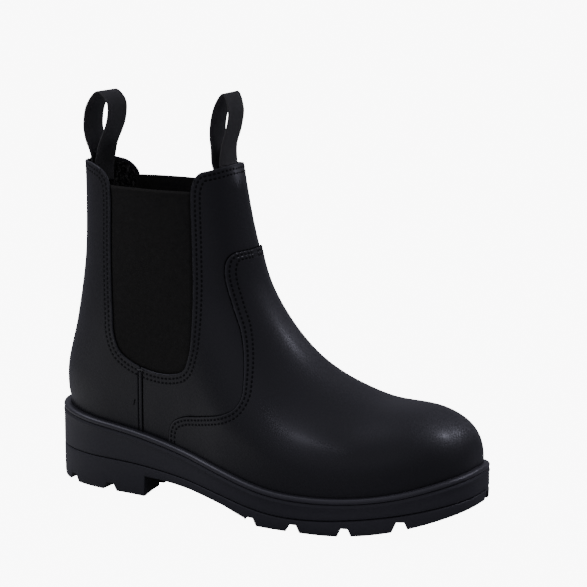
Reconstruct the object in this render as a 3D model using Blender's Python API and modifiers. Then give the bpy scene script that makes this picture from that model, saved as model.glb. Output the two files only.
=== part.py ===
"""Right pull-on ankle boot with elastic side gussets, two pull loops and a lugged rubber sole.

The toe points along +X, the outer side of the foot is -Y, and the sole stands on z = 0.
Every curved piece comes from one set of foot functions, worked out in millimetres.
"""
import math

import bmesh
import bpy
import numpy as np

MM = 0.001

# Foot and boot sizes
HEEL_X = 4.0
TOE_X = 279.2
TOE_ROUND = 89.4
TOE_POWER = 2.62
HEEL_ROUND = 45.2
HEEL_POWER = 2.1
TOE_INFLARE = 9.6
INFLARE_START = 99.8
INFLARE_RUN = 185.2
SHAFT_HALF_WIDTH = 28.5
ANKLE_HALF_WIDTH = 32.6
ANKLE_HEIGHT = 95.0
SHAFT_ROUND = 57.0
SHAFT_POWER = 2.3
FOOT_BLEND_START = 18.0
FOOT_BLEND = 80.0
COLLAR_BACK = (16.8, 201.5)
COLLAR_FRONT = (122.4, 207.4)
WALL = 2.4
GAP = 0.3

# Sole sizes
BEAD_HEIGHT = 4.6
BEAD_WIDTH = 4.6
WELT_HEIGHT = BEAD_HEIGHT - GAP
RIDGE_DROP = 2.2
RIDGE_HEIGHT = 0.8
SEAM_DEPTH = 1.2
WALL_OVERHANG = 0.2
LUG_TAPER_SHARE = 0.3
LUG_DEPTH = 4.2
ARCH_LUG_DEPTH = 3.4
HEEL_BREAST_X = 77.2
BREAST_RUN = 1.4
FOREFOOT_X = 159.0
FOREFOOT_RUN = 1.2
TOE_SPRING = 16.5
SPRING_START = 205.0
INSOLE_THICKNESS = 3.0
SOLE_STATIONS = 35
RUN_HALF_WIDTH = 2.2
RUN_SHALLOWER = 0.3
REACH = 90.0
BELOW_FLOOR = -10.0

# Mesh density of the upper
LEVELS = 22
STEPS = 26

# Overlay, gusset and loop sizes
VAMP_THICKNESS = 1.1
GUSSET_THICKNESS = 1.3
GUSSET_INSET = 0.9
INNER_WINDOW_SHIFT = -10.5
SWING_FADE = 20.0
LOOP_WIDTH = 20.5
LOOP_THICKNESS = 1.4
LOOP_FLAT_START = 203.0
LOOP_FLAT_RUN = 14.0
BACK_LOOP_CURVE = 3.3
FRONT_LOOP_CURVE = -2.1
LOOP_STEPS = 27
LOOP_COLUMNS_ACROSS = 5

# Half widths of the bead outline, measured from the foot's centre line
PLAN_COLUMNS = ("along", "lateral", "medial")
PLAN = (
    (0.0, 36.5, 36.5),
    (40.0, 36.5, 36.5),
    (80.0, 37.2, 33.6),
    (112.0, 41.0, 31.0),
    (140.0, 49.4, 35.6),
    (168.0, 55.3, 45.1),
    (200.0, 55.2, 52.1),
    (222.0, 53.1, 51.3),
    (250.0, 50.7, 46.8),
    (285.0, 49.1, 44.1),
)

# Heights of the bead's top and of the line between midsole and outsole
SOLE_COLUMNS = ("along", "bead", "groove")
SOLE = (
    (0.0, 48.0, 21.1),
    (80.0, 38.9, 19.3),
    (128.0, 30.9, 15.2),
    (188.0, 21.6, 8.0),
    (245.0, 26.6, 14.1),
    (285.0, 39.5, 23.9),
)

# Underside between the heel breast and the forefoot
ARCH_COLUMNS = ("along", "underside")
ARCH = (
    (77.0, 13.0),
    (98.0, 12.4),
    (122.0, 10.6),
    (140.0, 8.3),
    (160.0, 3.2),
)

# Guide line over toe, instep and front of the shaft
TOP_COLUMNS = ("along", "height")
TOP = (
    (122.4, 207.4),
    (131.9, 160.6),
    (143.3, 126.6),
    (175.2, 88.7),
    (214.5, 71.1),
    (251.4, 74.5),
    (288.7, 78.8),
)

# Line up the back of the heel and shaft
BACK_COLUMNS = ("along", "height")
BACK = (
    (4.0, 48.0),
    (2.2, 56.0),
    (2.3, 71.7),
    (10.6, 104.7),
    (16.5, 141.7),
    (17.3, 176.7),
    (16.8, 201.5),
)

# How deep the top and back lines round over, and how square that rounding is
ROUND_COLUMNS = ("along", "depth", "power")
ROUND = (
    (118.0, 51.0, 2.3),
    (150.0, 52.0, 2.1),
    (180.0, 50.0, 2.1),
    (215.0, 46.0, 2.3),
    (250.0, 42.0, 2.6),
    (285.0, 40.0, 2.65),
)

# Rear edge of the vamp, from the sole up to the front of the shaft
VAMP_COLUMNS = ("along", "height")
VAMP = (
    (96.6, 30.0),
    (96.4, 43.4),
    (99.5, 49.0),
    (106.0, 53.2),
    (122.0, 56.6),
    (139.6, 61.3),
    (146.5, 65.9),
    (149.0, 72.5),
    (147.9, 81.0),
    (144.8, 93.6),
    (139.5, 108.5),
    (134.3, 120.4),
    (129.6, 135.5),
    (128.6, 143.0),
    (129.6, 150.2),
    (132.6, 153.4),
    (140.0, 154.6),
)

# Side-view edge of the gusset window, down its rear, round the bottom and up its front
WINDOW_COLUMNS = ("along", "height")
WINDOW = (
    (48.1, 190.0),
    (49.4, 150.0),
    (52.1, 113.4),
    (53.4, 98.0),
    (57.6, 88.6),
    (65.6, 83.1),
    (80.5, 78.9),
    (95.7, 78.9),
    (105.2, 82.6),
    (109.4, 94.0),
    (110.2, 108.0),
    (109.1, 137.5),
    (107.7, 155.4),
    (105.2, 190.0),
)

# Top edges of the two leather tabs beside the window
TAB_COLUMNS = ("along", "height")
FRONT_TAB = (
    (105.8, 193.6),
    (107.4, 198.2),
    (109.9, 201.2),
    (114.7, 202.4),
    (119.0, 203.2),
    (126.0, 205.4),
)
REAR_TAB = (
    (28.0, 202.6),
    (34.0, 201.3),
    (40.5, 199.2),
    (44.6, 195.8),
    (47.0, 192.4),
)

# Centre lines of the two pull loops
LOOP_COLUMNS = ("along", "height")
BACK_LOOP = (
    (20.8, 187.0),
    (20.8, 202.0),
    (19.6, 214.0),
    (18.6, 223.0),
    (21.4, 235.5),
    (28.8, 243.8),
    (35.2, 237.8),
    (35.2, 227.5),
    (30.6, 217.0),
    (25.0, 207.0),
    (23.2, 198.0),
    (22.9, 187.0),
)
FRONT_LOOP = (
    (121.5, 190.0),
    (119.1, 203.5),
    (117.8, 215.5),
    (120.6, 227.0),
    (121.7, 238.0),
    (118.4, 246.6),
    (113.6, 241.6),
    (110.2, 231.5),
    (109.4, 219.5),
    (113.0, 207.0),
    (118.0, 195.0),
    (119.2, 190.0),
)

# Transverse grooves of the tread
CROSS_COLUMNS = ("start", "end")
CROSS_GROOVES = (
    (16.5, 23.0),
    (47.0, 54.2),
    (158.4, 166.5),
    (187.3, 194.6),
    (218.4, 225.2),
    (249.2, 255.4),
)

# Grooves along the tread, beside the centre line
RUN_COLUMNS = ("offset", "start", "end", "points")
RUN_GROOVES = (
    (-14.0, 164.0, 262.0, 9),
    (14.0, 164.0, 300.0, 9),
    (-11.0, 14.0, 95.0, 2),
    (11.0, 14.0, 95.0, 2),
)


def column(rows, columns, name):
    index = columns.index(name)
    return np.array([row[index] for row in rows])


def through(xs, ys, x):
    """Smooth curve through table points."""
    slopes = np.gradient(ys, xs)
    x = np.clip(x, xs[0], xs[-1])
    i = np.clip(np.searchsorted(xs, x) - 1, 0, len(xs) - 2)
    step = xs[i + 1] - xs[i]
    t = (x - xs[i]) / step
    rise = (2 * t**3 - 3 * t**2 + 1) * ys[i] + (3 * t**2 - 2 * t**3) * ys[i + 1]
    bend = (t**3 - 2 * t**2 + t) * slopes[i] + (t**3 - t**2) * slopes[i + 1]
    return rise + bend * step


def look_up(rows, columns, name, x):
    return through(column(rows, columns, columns[0]), column(rows, columns, name), x)


def side_curve(rows, count):
    """Even points along a smooth side-view line."""
    points = np.array(rows, dtype=float)
    reach = np.sqrt(np.linalg.norm(np.diff(points, axis=0), axis=1))
    knots = np.concatenate([[0.0], np.cumsum(reach)])
    fine = np.linspace(0.0, knots[-1], count * 4)
    line = np.stack([through(knots, points[:, k], fine) for k in range(2)], 1)
    run = np.concatenate([[0.0], np.cumsum(np.linalg.norm(np.diff(line, axis=0), axis=1))])
    even = np.linspace(0.0, run[-1], count)
    return np.stack([np.interp(even, run, line[:, k]) for k in range(2)], 1)


def smooth_step(t):
    t = np.clip(t, 0.0, 1.0)
    return t * t * (3.0 - 2.0 * t)


def bead_top(x):
    return look_up(SOLE, SOLE_COLUMNS, "bead", x)


def groove_line(x):
    return look_up(SOLE, SOLE_COLUMNS, "groove", x)


def ground(x):
    """Tread height: flat heel and forefoot, raised toe."""
    lift = np.clip((x - SPRING_START) / (TOE_X - SPRING_START), 0.0, 1.2)
    return TOE_SPRING * lift**2


def centre_line(x):
    return TOE_INFLARE * smooth_step((x - INFLARE_START) / INFLARE_RUN)


def half_width(x, side):
    name = "lateral" if side < 0 else "medial"
    return look_up(PLAN, PLAN_COLUMNS, name, x) - BEAD_WIDTH


def nose(x):
    return np.clip((x - (TOE_X - TOE_ROUND)) / TOE_ROUND, 0.0, 1.0)


def feather_y(x, side):
    """Foot outline where the upper meets the sole."""
    heel = np.clip((HEEL_ROUND - (x - HEEL_X)) / HEEL_ROUND, 0.0, 1.0)
    front = np.clip(1.0 - nose(x)**TOE_POWER, 0.0, 1.0)**(1.0 / TOE_POWER)
    rear = np.clip(1.0 - heel**HEEL_POWER, 0.0, 1.0)**(1.0 / HEEL_POWER)
    return centre_line(x) + side * half_width(x, side) * front * rear


def feather_ring(x, grow):
    """Foot outline offset outward, along the outer side and back along the inner side."""
    xs = np.concatenate([x, x[::-1][1:-1]])
    ys = np.concatenate([feather_y(x, -1), feather_y(x, 1)[::-1][1:-1]])
    dx = np.roll(xs, -1) - np.roll(xs, 1)
    dy = np.roll(ys, -1) - np.roll(ys, 1)
    size = np.hypot(dx, dy)
    return xs + grow * dy / size, ys - grow * dx / size, xs


TOP_LINE = side_curve(TOP, 160)
BACK_LINE = side_curve(BACK, 80)


def front_line():
    """Side profile from the toe's foot over the toe and instep to the collar."""
    order = np.argsort(TOP_LINE[:, 0])
    tau = np.sin(np.linspace(0.0, math.pi / 2, 30))
    power = look_up(ROUND, ROUND_COLUMNS, "power", TOE_X)
    x = TOE_X - TOE_ROUND * (1.0 - np.clip(1.0 - tau**power, 0.0, 1.0)**(1.0 / TOE_POWER))
    crest = np.interp(x, TOP_LINE[order, 0], TOP_LINE[order, 1])
    depth = look_up(ROUND, ROUND_COLUMNS, "depth", x)
    toe = np.stack([x, crest - depth * (1.0 - tau)], 1)
    foot = [[TOE_X, float(bead_top(np.array([TOE_X]))[0])]]
    shaft = TOP_LINE[::-1]
    shaft = shaft[shaft[:, 0] < TOE_X - TOE_ROUND - 1.0]
    line = np.concatenate([foot, toe[1:], shaft])
    run = np.concatenate([[0.0], np.cumsum(np.linalg.norm(np.diff(line, axis=0), axis=1))])
    return line, run / run[-1]


def nearest(line, x, z):
    gap = np.hypot(x[..., None] - line[:, 0], z[..., None] - line[:, 1])
    index = gap.argmin(-1)
    return np.take_along_axis(gap, index[..., None], -1)[..., 0], index


def half_section(x, z, side):
    """Half width of the upper at a point of its side view."""
    top_gap, i = nearest(TOP_LINE, x, z)
    back_gap, j = nearest(BACK_LINE, x, z)
    depth = look_up(ROUND, ROUND_COLUMNS, "depth", TOP_LINE[i, 0])
    power = look_up(ROUND, ROUND_COLUMNS, "power", TOP_LINE[i, 0])
    climb = smooth_step(j / (len(BACK_LINE) - 1.0))
    back_depth = HEEL_ROUND + (SHAFT_ROUND - HEEL_ROUND) * climb
    back_power = HEEL_POWER + (SHAFT_POWER - HEEL_POWER) * climb
    over = np.clip(1.0 - top_gap / depth, 0.0, 1.0)**power
    behind = np.clip(1.0 - back_gap / back_depth, 0.0, 1.0)**back_power
    front = np.clip(1.0 - over - nose(x)**TOE_POWER, 0.0, 1.0)**(1.0 / TOE_POWER)
    rear = np.clip(1.0 - behind, 0.0, 1.0)**(1.0 / back_power)
    rise = smooth_step((z - bead_top(x) - FOOT_BLEND_START) / FOOT_BLEND)
    taper = smooth_step((z - ANKLE_HEIGHT) / (COLLAR_BACK[1] - ANKLE_HEIGHT))
    shaft = ANKLE_HALF_WIDTH + (SHAFT_HALF_WIDTH - ANKLE_HALF_WIDTH) * taper
    return (half_width(x, side) * (1.0 - rise) + shaft * rise) * front * rear


def upper_grid(levels, steps):
    """Rings of the upper's outer surface, from the bead's top to the collar."""
    front, front_run = front_line()
    back_run = np.linspace(0.0, 1.0, len(BACK_LINE))
    s, v = np.meshgrid((1.0 - np.cos(np.linspace(0.0, math.pi, steps))) / 2.0, np.linspace(0.0, 1.0, levels))
    foot_x = HEEL_X + (TOE_X - HEEL_X) * s
    foot = np.stack([foot_x, bead_top(foot_x)], -1)
    collar = np.stack([COLLAR_BACK[k] + (COLLAR_FRONT[k] - COLLAR_BACK[k]) * s for k in range(2)], -1)
    left = np.stack([np.interp(v, back_run, BACK_LINE[:, k]) for k in range(2)], -1)
    right = np.stack([np.interp(v, front_run, front[:, k]) for k in range(2)], -1)
    s = s[..., None]
    v = v[..., None]
    lower = (1 - s) * foot[0, 0] + s * foot[0, -1]
    higher = (1 - s) * collar[0, 0] + s * collar[0, -1]
    side_view = (1 - v) * (foot - lower) + v * (collar - higher) + (1 - s) * left + s * right
    x = side_view[..., 0]
    z = side_view[..., 1]
    rows = []
    for side in (-1, 1):
        width = half_section(x, z, side)
        width[:, 0] = 0.0
        width[:, -1] = 0.0
        rows.append(np.stack([x, centre_line(x) + side * width, z], -1))
    rings = np.concatenate([rows[0], rows[1][:, ::-1][:, 1:-1]], axis=1)
    rings[0, :, 1] = np.concatenate([feather_y(foot_x[0], -1), feather_y(foot_x[0], 1)[::-1][1:-1]])
    return rings


def grid_normals(rings):
    around = np.roll(rings, -1, axis=1) - np.roll(rings, 1, axis=1)
    along = np.gradient(rings, axis=0)
    normal = np.cross(around, along)
    return normal / np.linalg.norm(normal, axis=2, keepdims=True)


for old in list(bpy.data.objects):
    bpy.data.objects.remove(old, do_unlink=True)

boot = bpy.data.collections.new("ankle_boot")
cutters = bpy.data.collections.new("cutters")
bpy.context.scene.collection.children.link(boot)
bpy.context.scene.collection.children.link(cutters)

root = bpy.data.objects.new("boot_origin", None)
boot.objects.link(root)


def material(name, color, roughness):
    made = bpy.data.materials.new(name)
    made.use_nodes = True
    shader = made.node_tree.nodes["Principled BSDF"]
    shader.inputs["Base Color"].default_value = (*color, 1.0)
    shader.inputs["Roughness"].default_value = roughness
    shader.inputs["Metallic"].default_value = 0.0
    return made


LEATHER = material("leather", (0.011, 0.011, 0.014), 0.45)
ELASTIC = material("elastic", (0.005, 0.005, 0.005), 0.85)
WEBBING = material("webbing", (0.012, 0.012, 0.013), 0.8)
RUBBER = material("rubber", (0.015, 0.015, 0.018), 0.6)
LINING = material("lining", (0.02, 0.02, 0.021), 0.85)


def add_mesh(name, points, faces, stuff=None, cutter=False):
    mesh = bpy.data.meshes.new(name)
    mesh.from_pydata([tuple(p) for p in np.asarray(points) * MM], [], faces)
    work = bmesh.new()
    work.from_mesh(mesh)
    bmesh.ops.recalc_face_normals(work, faces=work.faces)
    work.to_mesh(mesh)
    work.free()
    made = bpy.data.objects.new(name, mesh)
    made.parent = root
    (cutters if cutter else boot).objects.link(made)
    if stuff is not None:
        mesh.materials.append(stuff)
    if cutter:
        made.hide_render = True
        made.display_type = "WIRE"
    return made


def ring_faces(levels, count, split=False):
    """Faces between rings; split ones give layered shells the same facets."""
    faces = []
    for i in range(levels - 1):
        for j in range(count):
            k = (j + 1) % count
            quad = (i * count + j, i * count + k, (i + 1) * count + k, (i + 1) * count + j)
            if split:
                faces += [quad[:3], (quad[0], quad[2], quad[3])]
            else:
                faces.append(quad)
    return faces


def ring_cap(base, count):
    """Close a foot-shaped ring with strips from its outer to its inner side."""
    faces = []
    half = count // 2
    for j in range(half):
        quad = [base + j, base + j + 1, base + (count - j - 1) % count, base + (count - j) % count]
        faces.append(tuple(dict.fromkeys(quad)))
    return faces


def loft(name, rings, stuff):
    count = len(rings[0])
    points = np.concatenate(rings)
    faces = ring_faces(len(rings), count)
    faces += ring_cap(0, count)
    faces += ring_cap((len(rings) - 1) * count, count)
    return add_mesh(name, points, faces, stuff)


def prism(name, outline, low, high):
    """Side-view outline pushed across the boot."""
    count = len(outline)
    points = [(x, low, z) for x, z in outline] + [(x, high, z) for x, z in outline]
    faces = [tuple(range(count)), tuple(range(count, 2 * count))]
    for j in range(count):
        k = (j + 1) % count
        faces.append((j, k, count + k, count + j))
    return add_mesh(name, points, faces, cutter=True)


def cut(target, tool, operation):
    modifier = target.modifiers.new(tool.name, "BOOLEAN")
    modifier.operation = operation
    modifier.solver = "EXACT"
    modifier.object = tool


def thicken(target, thickness, offset):
    modifier = target.modifiers.new("thickness", "SOLIDIFY")
    modifier.thickness = thickness * MM
    modifier.offset = offset
    modifier.use_even_offset = True
    modifier.use_quality_normals = True


# Sole stations, with close pairs at the heel breast and where the forefoot tread starts
stations = HEEL_X + (TOE_X - HEEL_X) * (1.0 - np.cos(np.linspace(0.0, math.pi, SOLE_STATIONS))) / 2.0
risers = (HEEL_BREAST_X, HEEL_BREAST_X + BREAST_RUN, FOREFOOT_X, FOREFOOT_X + FOREFOOT_RUN)
for mark in risers:
    free = [i for i, x in enumerate(stations) if x not in risers]
    stations[min(free, key=lambda i: abs(stations[i] - mark))] = mark
stations = np.sort(stations)


def tread_bottom(x):
    """Underside of the sole: lug tips under heel and forefoot, the arch between them."""
    under = look_up(ARCH, ARCH_COLUMNS, "underside", x)
    arched = (x > HEEL_BREAST_X + BREAST_RUN / 2.0) & (x < FOREFOOT_X + FOREFOOT_RUN / 2.0)
    return np.where(arched, under, ground(x))


def sole_ring(grow, height, along=stations):
    xs, ys, base = feather_ring(along, grow)
    return np.stack([xs, ys, height(base)], 1)


# Outsole with heel, arch and lugs
SIDE = BEAD_WIDTH + WALL_OVERHANG
SEAM = BEAD_WIDTH - 1.0


def shoulder(x):
    return groove_line(x) - SEAM_DEPTH


outsole = loft("outsole", [
    sole_ring(SEAM, lambda x: groove_line(x) - GAP / 2.0),
    sole_ring(SIDE, shoulder),
    sole_ring(SIDE, lambda x: tread_bottom(x) + LUG_TAPER_SHARE * (shoulder(x) - tread_bottom(x))),
    sole_ring(BEAD_WIDTH - WALL_OVERHANG, tread_bottom),
], RUBBER)

BOX_FACES = ((0, 1, 2, 3), (4, 5, 6, 7), (0, 1, 5, 4), (1, 2, 6, 5), (2, 3, 7, 6), (3, 0, 4, 7))
cross_points = []
cross_faces = []
for start, end in CROSS_GROOVES:
    roof = float(ground(np.array([(start + end) / 2.0]))[0]) + LUG_DEPTH
    if start < FOREFOOT_X < end:
        roof = ARCH_LUG_DEPTH
    base = len(cross_points)
    for y in (-REACH, REACH):
        cross_points += [(start, y, BELOW_FLOOR), (end, y, BELOW_FLOOR), (end, y, roof), (start, y, roof)]
    cross_faces += [tuple(base + k for k in face) for face in BOX_FACES]
cross_grooves = add_mesh("cross_grooves", cross_points, cross_faces, cutter=True)
cut(outsole, cross_grooves, "DIFFERENCE")

run_points = []
run_faces = []
for offset, start, end, steps in RUN_GROOVES:
    base = len(run_points)
    for x in np.linspace(start, end, steps):
        middle = float(centre_line(np.array([x]))[0]) + offset
        roof = float(ground(np.array([x]))[0]) + LUG_DEPTH - RUN_SHALLOWER
        left = middle - RUN_HALF_WIDTH
        right = middle + RUN_HALF_WIDTH
        run_points += [(x, left, BELOW_FLOOR), (x, right, BELOW_FLOOR), (x, right, roof), (x, left, roof)]
    run_faces.append(tuple(base + k for k in range(4)))
    run_faces.append(tuple(base + 4 * (steps - 1) + k for k in range(4)))
    for i in range(steps - 1):
        for k in range(4):
            m = (k + 1) % 4
            run_faces.append((base + 4 * i + k, base + 4 * i + m, base + 4 * i + 4 + m, base + 4 * i + 4 + k))
long_grooves = add_mesh("long_grooves", run_points, run_faces, cutter=True)
cut(outsole, long_grooves, "DIFFERENCE")


# Midsole wall with its ridge and the groove under the bead
def seat(x):
    return bead_top(x) - BEAD_HEIGHT


midsole = loft("midsole", [
    sole_ring(SEAM, lambda x: groove_line(x) + GAP / 2.0),
    sole_ring(SIDE, lambda x: groove_line(x) + SEAM_DEPTH),
    sole_ring(SIDE - 0.6, lambda x: seat(x) - RIDGE_DROP - GAP),
    sole_ring(SIDE + 0.1, lambda x: seat(x) - RIDGE_DROP),
    sole_ring(SIDE + 0.1, lambda x: seat(x) - RIDGE_DROP + RIDGE_HEIGHT),
    sole_ring(SEAM, lambda x: seat(x) - RIDGE_DROP + RIDGE_HEIGHT + GAP),
    sole_ring(SEAM, lambda x: seat(x) - GAP),
], RUBBER)

# Rolled welt bead around the foot of the upper, drawn as outward and upward steps of its section
welt_section = (
    (GAP, 0.0),
    (BEAD_WIDTH - 0.9, 0.0),
    (BEAD_WIDTH - 0.1, 0.9),
    (BEAD_WIDTH + 0.1, 2.2),
    (BEAD_WIDTH - 0.6, 3.5),
    (BEAD_WIDTH - 1.9, WELT_HEIGHT),
    (GAP, WELT_HEIGHT),
)
upper_stations = HEEL_X + (TOE_X - HEEL_X) * (1.0 - np.cos(np.linspace(0.0, math.pi, STEPS))) / 2.0
welt_rings = []
for grow, height in welt_section:
    welt_rings.append(sole_ring(grow, lambda x: seat(x) + height, upper_stations))
around = len(welt_rings[0])
welt_faces = []
for i in range(len(welt_section)):
    n = (i + 1) % len(welt_section)
    for j in range(around):
        k = (j + 1) % around
        welt_faces.append((i * around + j, i * around + k, n * around + k, n * around + j))
add_mesh("welt", np.concatenate(welt_rings), welt_faces, RUBBER)

# Insole inside the upper
loft("insole", [
    sole_ring(-WALL - GAP, seat, upper_stations),
    sole_ring(-WALL - GAP, lambda x: seat(x) + INSOLE_THICKNESS, upper_stations),
], LINING)

# Upper: one hollow wall, open at the collar and underneath, with a window for each gusset
rings = upper_grid(LEVELS, STEPS)
count = rings.shape[1]
band = rings[0].copy()
band[:, 2] -= BEAD_HEIGHT
wall_points = np.concatenate([band[None], rings])
upper = add_mesh("upper", wall_points.reshape(-1, 3), ring_faces(LEVELS + 1, count, True), LEATHER)
thicken(upper, WALL, -1.0)


def swung(outline):
    """The window of the inner side sits further back, fading out at the two seams."""
    points = np.array(outline)
    x = points[:, 0]
    behind = smooth_step((x - COLLAR_BACK[0]) / SWING_FADE)
    ahead = smooth_step((COLLAR_FRONT[0] - x) / SWING_FADE * 2.0)
    points[:, 0] += INNER_WINDOW_SHIFT * behind * ahead
    return [tuple(p) for p in points]


def slab(name, near, far, low, high):
    """Side-view outlines pushed across the boot, turning from one to the other in the middle."""
    size = len(near)
    points = []
    for outline, y in ((near, -REACH), (near, low), (far, high), (far, REACH)):
        points += [(x, y, z) for x, z in outline]
    faces = [tuple(range(size)), tuple(range(3 * size, 4 * size))]
    for i in range(3):
        for j in range(size):
            k = (j + 1) % size
            faces.append((i * size + j, i * size + k, (i + 1) * size + k, (i + 1) * size + j))
    return add_mesh(name, points, faces, cutter=True)


WINDOW_POINTS = 22
SEAM_HALF_WIDTH = 6.0
ABOVE_COLLAR = 220.0
window_edge = side_curve(WINDOW, WINDOW_POINTS)
opening = [tuple(p) for p in window_edge]
opening += FRONT_TAB
opening += [(FRONT_TAB[-1][0], ABOVE_COLLAR), (REAR_TAB[0][0], ABOVE_COLLAR)]
opening += REAR_TAB
gusset_opening = slab("gusset_opening", opening, swung(opening), -SEAM_HALF_WIDTH, SEAM_HALF_WIDTH)
cut(upper, gusset_opening, "DIFFERENCE")

# Vamp laid over the front of the upper
normals = grid_normals(rings)
vamp = add_mesh("vamp", (rings + GAP * normals).reshape(-1, 3), ring_faces(LEVELS, count, True), LEATHER)
thicken(vamp, VAMP_THICKNESS, 1.0)
AHEAD_OF_TOE = 330.0
UNDER_WELT = 5.0
VAMP_POINTS = 36
vamp_edge = [tuple(p) for p in side_curve(VAMP, VAMP_POINTS)]
vamp_edge += [(AHEAD_OF_TOE, VAMP[-1][1]), (AHEAD_OF_TOE, UNDER_WELT), (VAMP[0][0], UNDER_WELT)]
cut(vamp, prism("vamp_form", vamp_edge, -REACH, REACH), "INTERSECT")

# Elastic gussets, one in each side window
travel = np.gradient(window_edge, axis=0)
travel /= np.linalg.norm(travel, axis=1, keepdims=True)
pane = window_edge + GAP * np.stack([-travel[:, 1], travel[:, 0]], 1)
pane = [tuple(p) for p in pane]
gusset_shell = (rings - GUSSET_INSET * normals).reshape(-1, 3)
for name, outline, low, high in (
    ("gusset_outer", pane, -REACH, -SEAM_HALF_WIDTH),
    ("gusset_inner", swung(pane), SEAM_HALF_WIDTH, REACH),
):
    gusset = add_mesh(name, gusset_shell, ring_faces(LEVELS, count, True), ELASTIC)
    thicken(gusset, GUSSET_THICKNESS, -1.0)
    cut(gusset, prism(name + "_form", outline, low, high), "INTERSECT")


# Pull loops: flat webbing tucked inside the back and the front of the collar
def pull_loop(name, rows, curve):
    points = []
    for x, z in side_curve(rows, LOOP_STEPS):
        curl = curve * (1.0 - smooth_step((z - LOOP_FLAT_START) / LOOP_FLAT_RUN))
        for u in np.linspace(-1.0, 1.0, LOOP_COLUMNS_ACROSS):
            points.append((x + curl * u**2, u * LOOP_WIDTH / 2.0, z))
    faces = []
    wide = LOOP_COLUMNS_ACROSS
    for i in range(LOOP_STEPS - 1):
        for j in range(wide - 1):
            corner = i * wide + j
            faces.append((corner, corner + 1, corner + wide + 1, corner + wide))
    thicken(add_mesh(name, points, faces, WEBBING), LOOP_THICKNESS, 0.0)


pull_loop("pull_loop_back", BACK_LOOP, BACK_LOOP_CURVE)
pull_loop("pull_loop_front", FRONT_LOOP, FRONT_LOOP_CURVE)

# Origin under the middle of the boot's bounding box
outline_x, outline_y, _ = feather_ring(stations, SIDE + 0.1)
root.location = (
    -(outline_x.min() + outline_x.max()) / 2.0 * MM,
    -(outline_y.min() + outline_y.max()) / 2.0 * MM,
    0.0,
)
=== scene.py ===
"""Looks of a right pull-on ankle boot: leather panels, elastic gussets, webbing loops and a lugged sole.

Lengths inside the sections are millimetres along the foot (x from heel to toe, y to the inner side,
z up from the floor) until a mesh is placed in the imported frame.
"""
import math

import bpy
import numpy as np
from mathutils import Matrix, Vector


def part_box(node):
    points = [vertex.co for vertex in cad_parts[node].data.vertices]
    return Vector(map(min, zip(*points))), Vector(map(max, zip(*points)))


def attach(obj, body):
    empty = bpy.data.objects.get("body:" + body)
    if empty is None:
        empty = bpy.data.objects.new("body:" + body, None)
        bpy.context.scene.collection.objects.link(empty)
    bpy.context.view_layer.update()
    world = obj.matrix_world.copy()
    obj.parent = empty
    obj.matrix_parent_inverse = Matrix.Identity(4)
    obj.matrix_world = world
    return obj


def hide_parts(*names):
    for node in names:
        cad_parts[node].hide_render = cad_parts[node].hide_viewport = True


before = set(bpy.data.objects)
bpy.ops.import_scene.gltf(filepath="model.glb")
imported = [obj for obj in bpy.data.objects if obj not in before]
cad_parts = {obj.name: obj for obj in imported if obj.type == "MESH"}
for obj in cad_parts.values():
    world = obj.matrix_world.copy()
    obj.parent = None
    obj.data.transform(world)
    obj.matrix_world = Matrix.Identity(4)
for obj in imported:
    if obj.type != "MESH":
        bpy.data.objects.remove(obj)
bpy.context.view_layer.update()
bpy.ops.object.select_all(action="DESELECT")

# Camera
# A long lens, a little above the collar, looking at the outer side of the boot from ahead of it.
CAMERA_PLACE = (0.5892, -1.0071, 0.3697)
CAMERA_TURN = 29.52
CAMERA_DIP = 11.65
CAMERA_ROLL = 0.22
CAMERA_LENS = 120.85
CAMERA_SHIFT_X = 0.0004
CAMERA_SHIFT_Y = -0.0051
SENSOR_WIDTH = 36.0
bpy.ops.object.camera_add(location=CAMERA_PLACE)
camera = bpy.context.object
camera.rotation_euler = (math.radians(90.0 - CAMERA_DIP), 0.0, math.radians(CAMERA_TURN))
camera.rotation_euler.rotate_axis("Z", math.radians(CAMERA_ROLL))
camera.data.sensor_width = SENSOR_WIDTH
camera.data.lens = CAMERA_LENS
camera.data.shift_x = CAMERA_SHIFT_X
camera.data.shift_y = CAMERA_SHIFT_Y
bpy.context.scene.camera = camera

# Footbed
# A fabric-covered insole board that closes the boot underneath; the upper is lasted round it,
# so its outline is the foot outline that every other piece of the boot follows.
MM = 0.001
HEEL_X = 4.0
TOE_X = 279.2
TOE_ROUND = 89.4
TOE_POWER = 2.62
HEEL_ROUND = 45.2
HEEL_POWER = 2.1
TOE_INFLARE = 9.6
INFLARE_START = 99.8
INFLARE_RUN = 185.2
BEAD_WIDTH = 4.6
BEAD_HEIGHT = 4.6
WALL = 2.4
MERGE_DISTANCE = 0.000002
FLAT_FACE = 0.000001
loop_low, loop_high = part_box("pull_loop_back")
ORIGIN = np.array([(HEEL_X + TOE_X) / 2.0, -(loop_low.y + loop_high.y) / 2.0 / MM, 0.0])

# Half widths of the bead outline, measured from the foot's centre line
PLAN_COLUMNS = ("along", "lateral", "medial")
PLAN = (
    (0.0, 36.5, 36.5),
    (40.0, 36.5, 36.5),
    (80.0, 37.2, 33.6),
    (112.0, 41.0, 31.0),
    (140.0, 49.4, 35.6),
    (168.0, 55.3, 45.1),
    (200.0, 55.2, 52.1),
    (222.0, 53.1, 51.3),
    (250.0, 50.7, 46.8),
    (285.0, 49.1, 44.1),
)
# Heights of the bead's top and of the line between midsole and outsole
SOLE_COLUMNS = ("along", "bead", "groove")
SOLE = (
    (0.0, 48.0, 21.1),
    (80.0, 38.9, 19.3),
    (128.0, 30.9, 15.2),
    (188.0, 21.6, 8.0),
    (245.0, 26.6, 14.1),
    (285.0, 39.5, 23.9),
)


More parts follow.
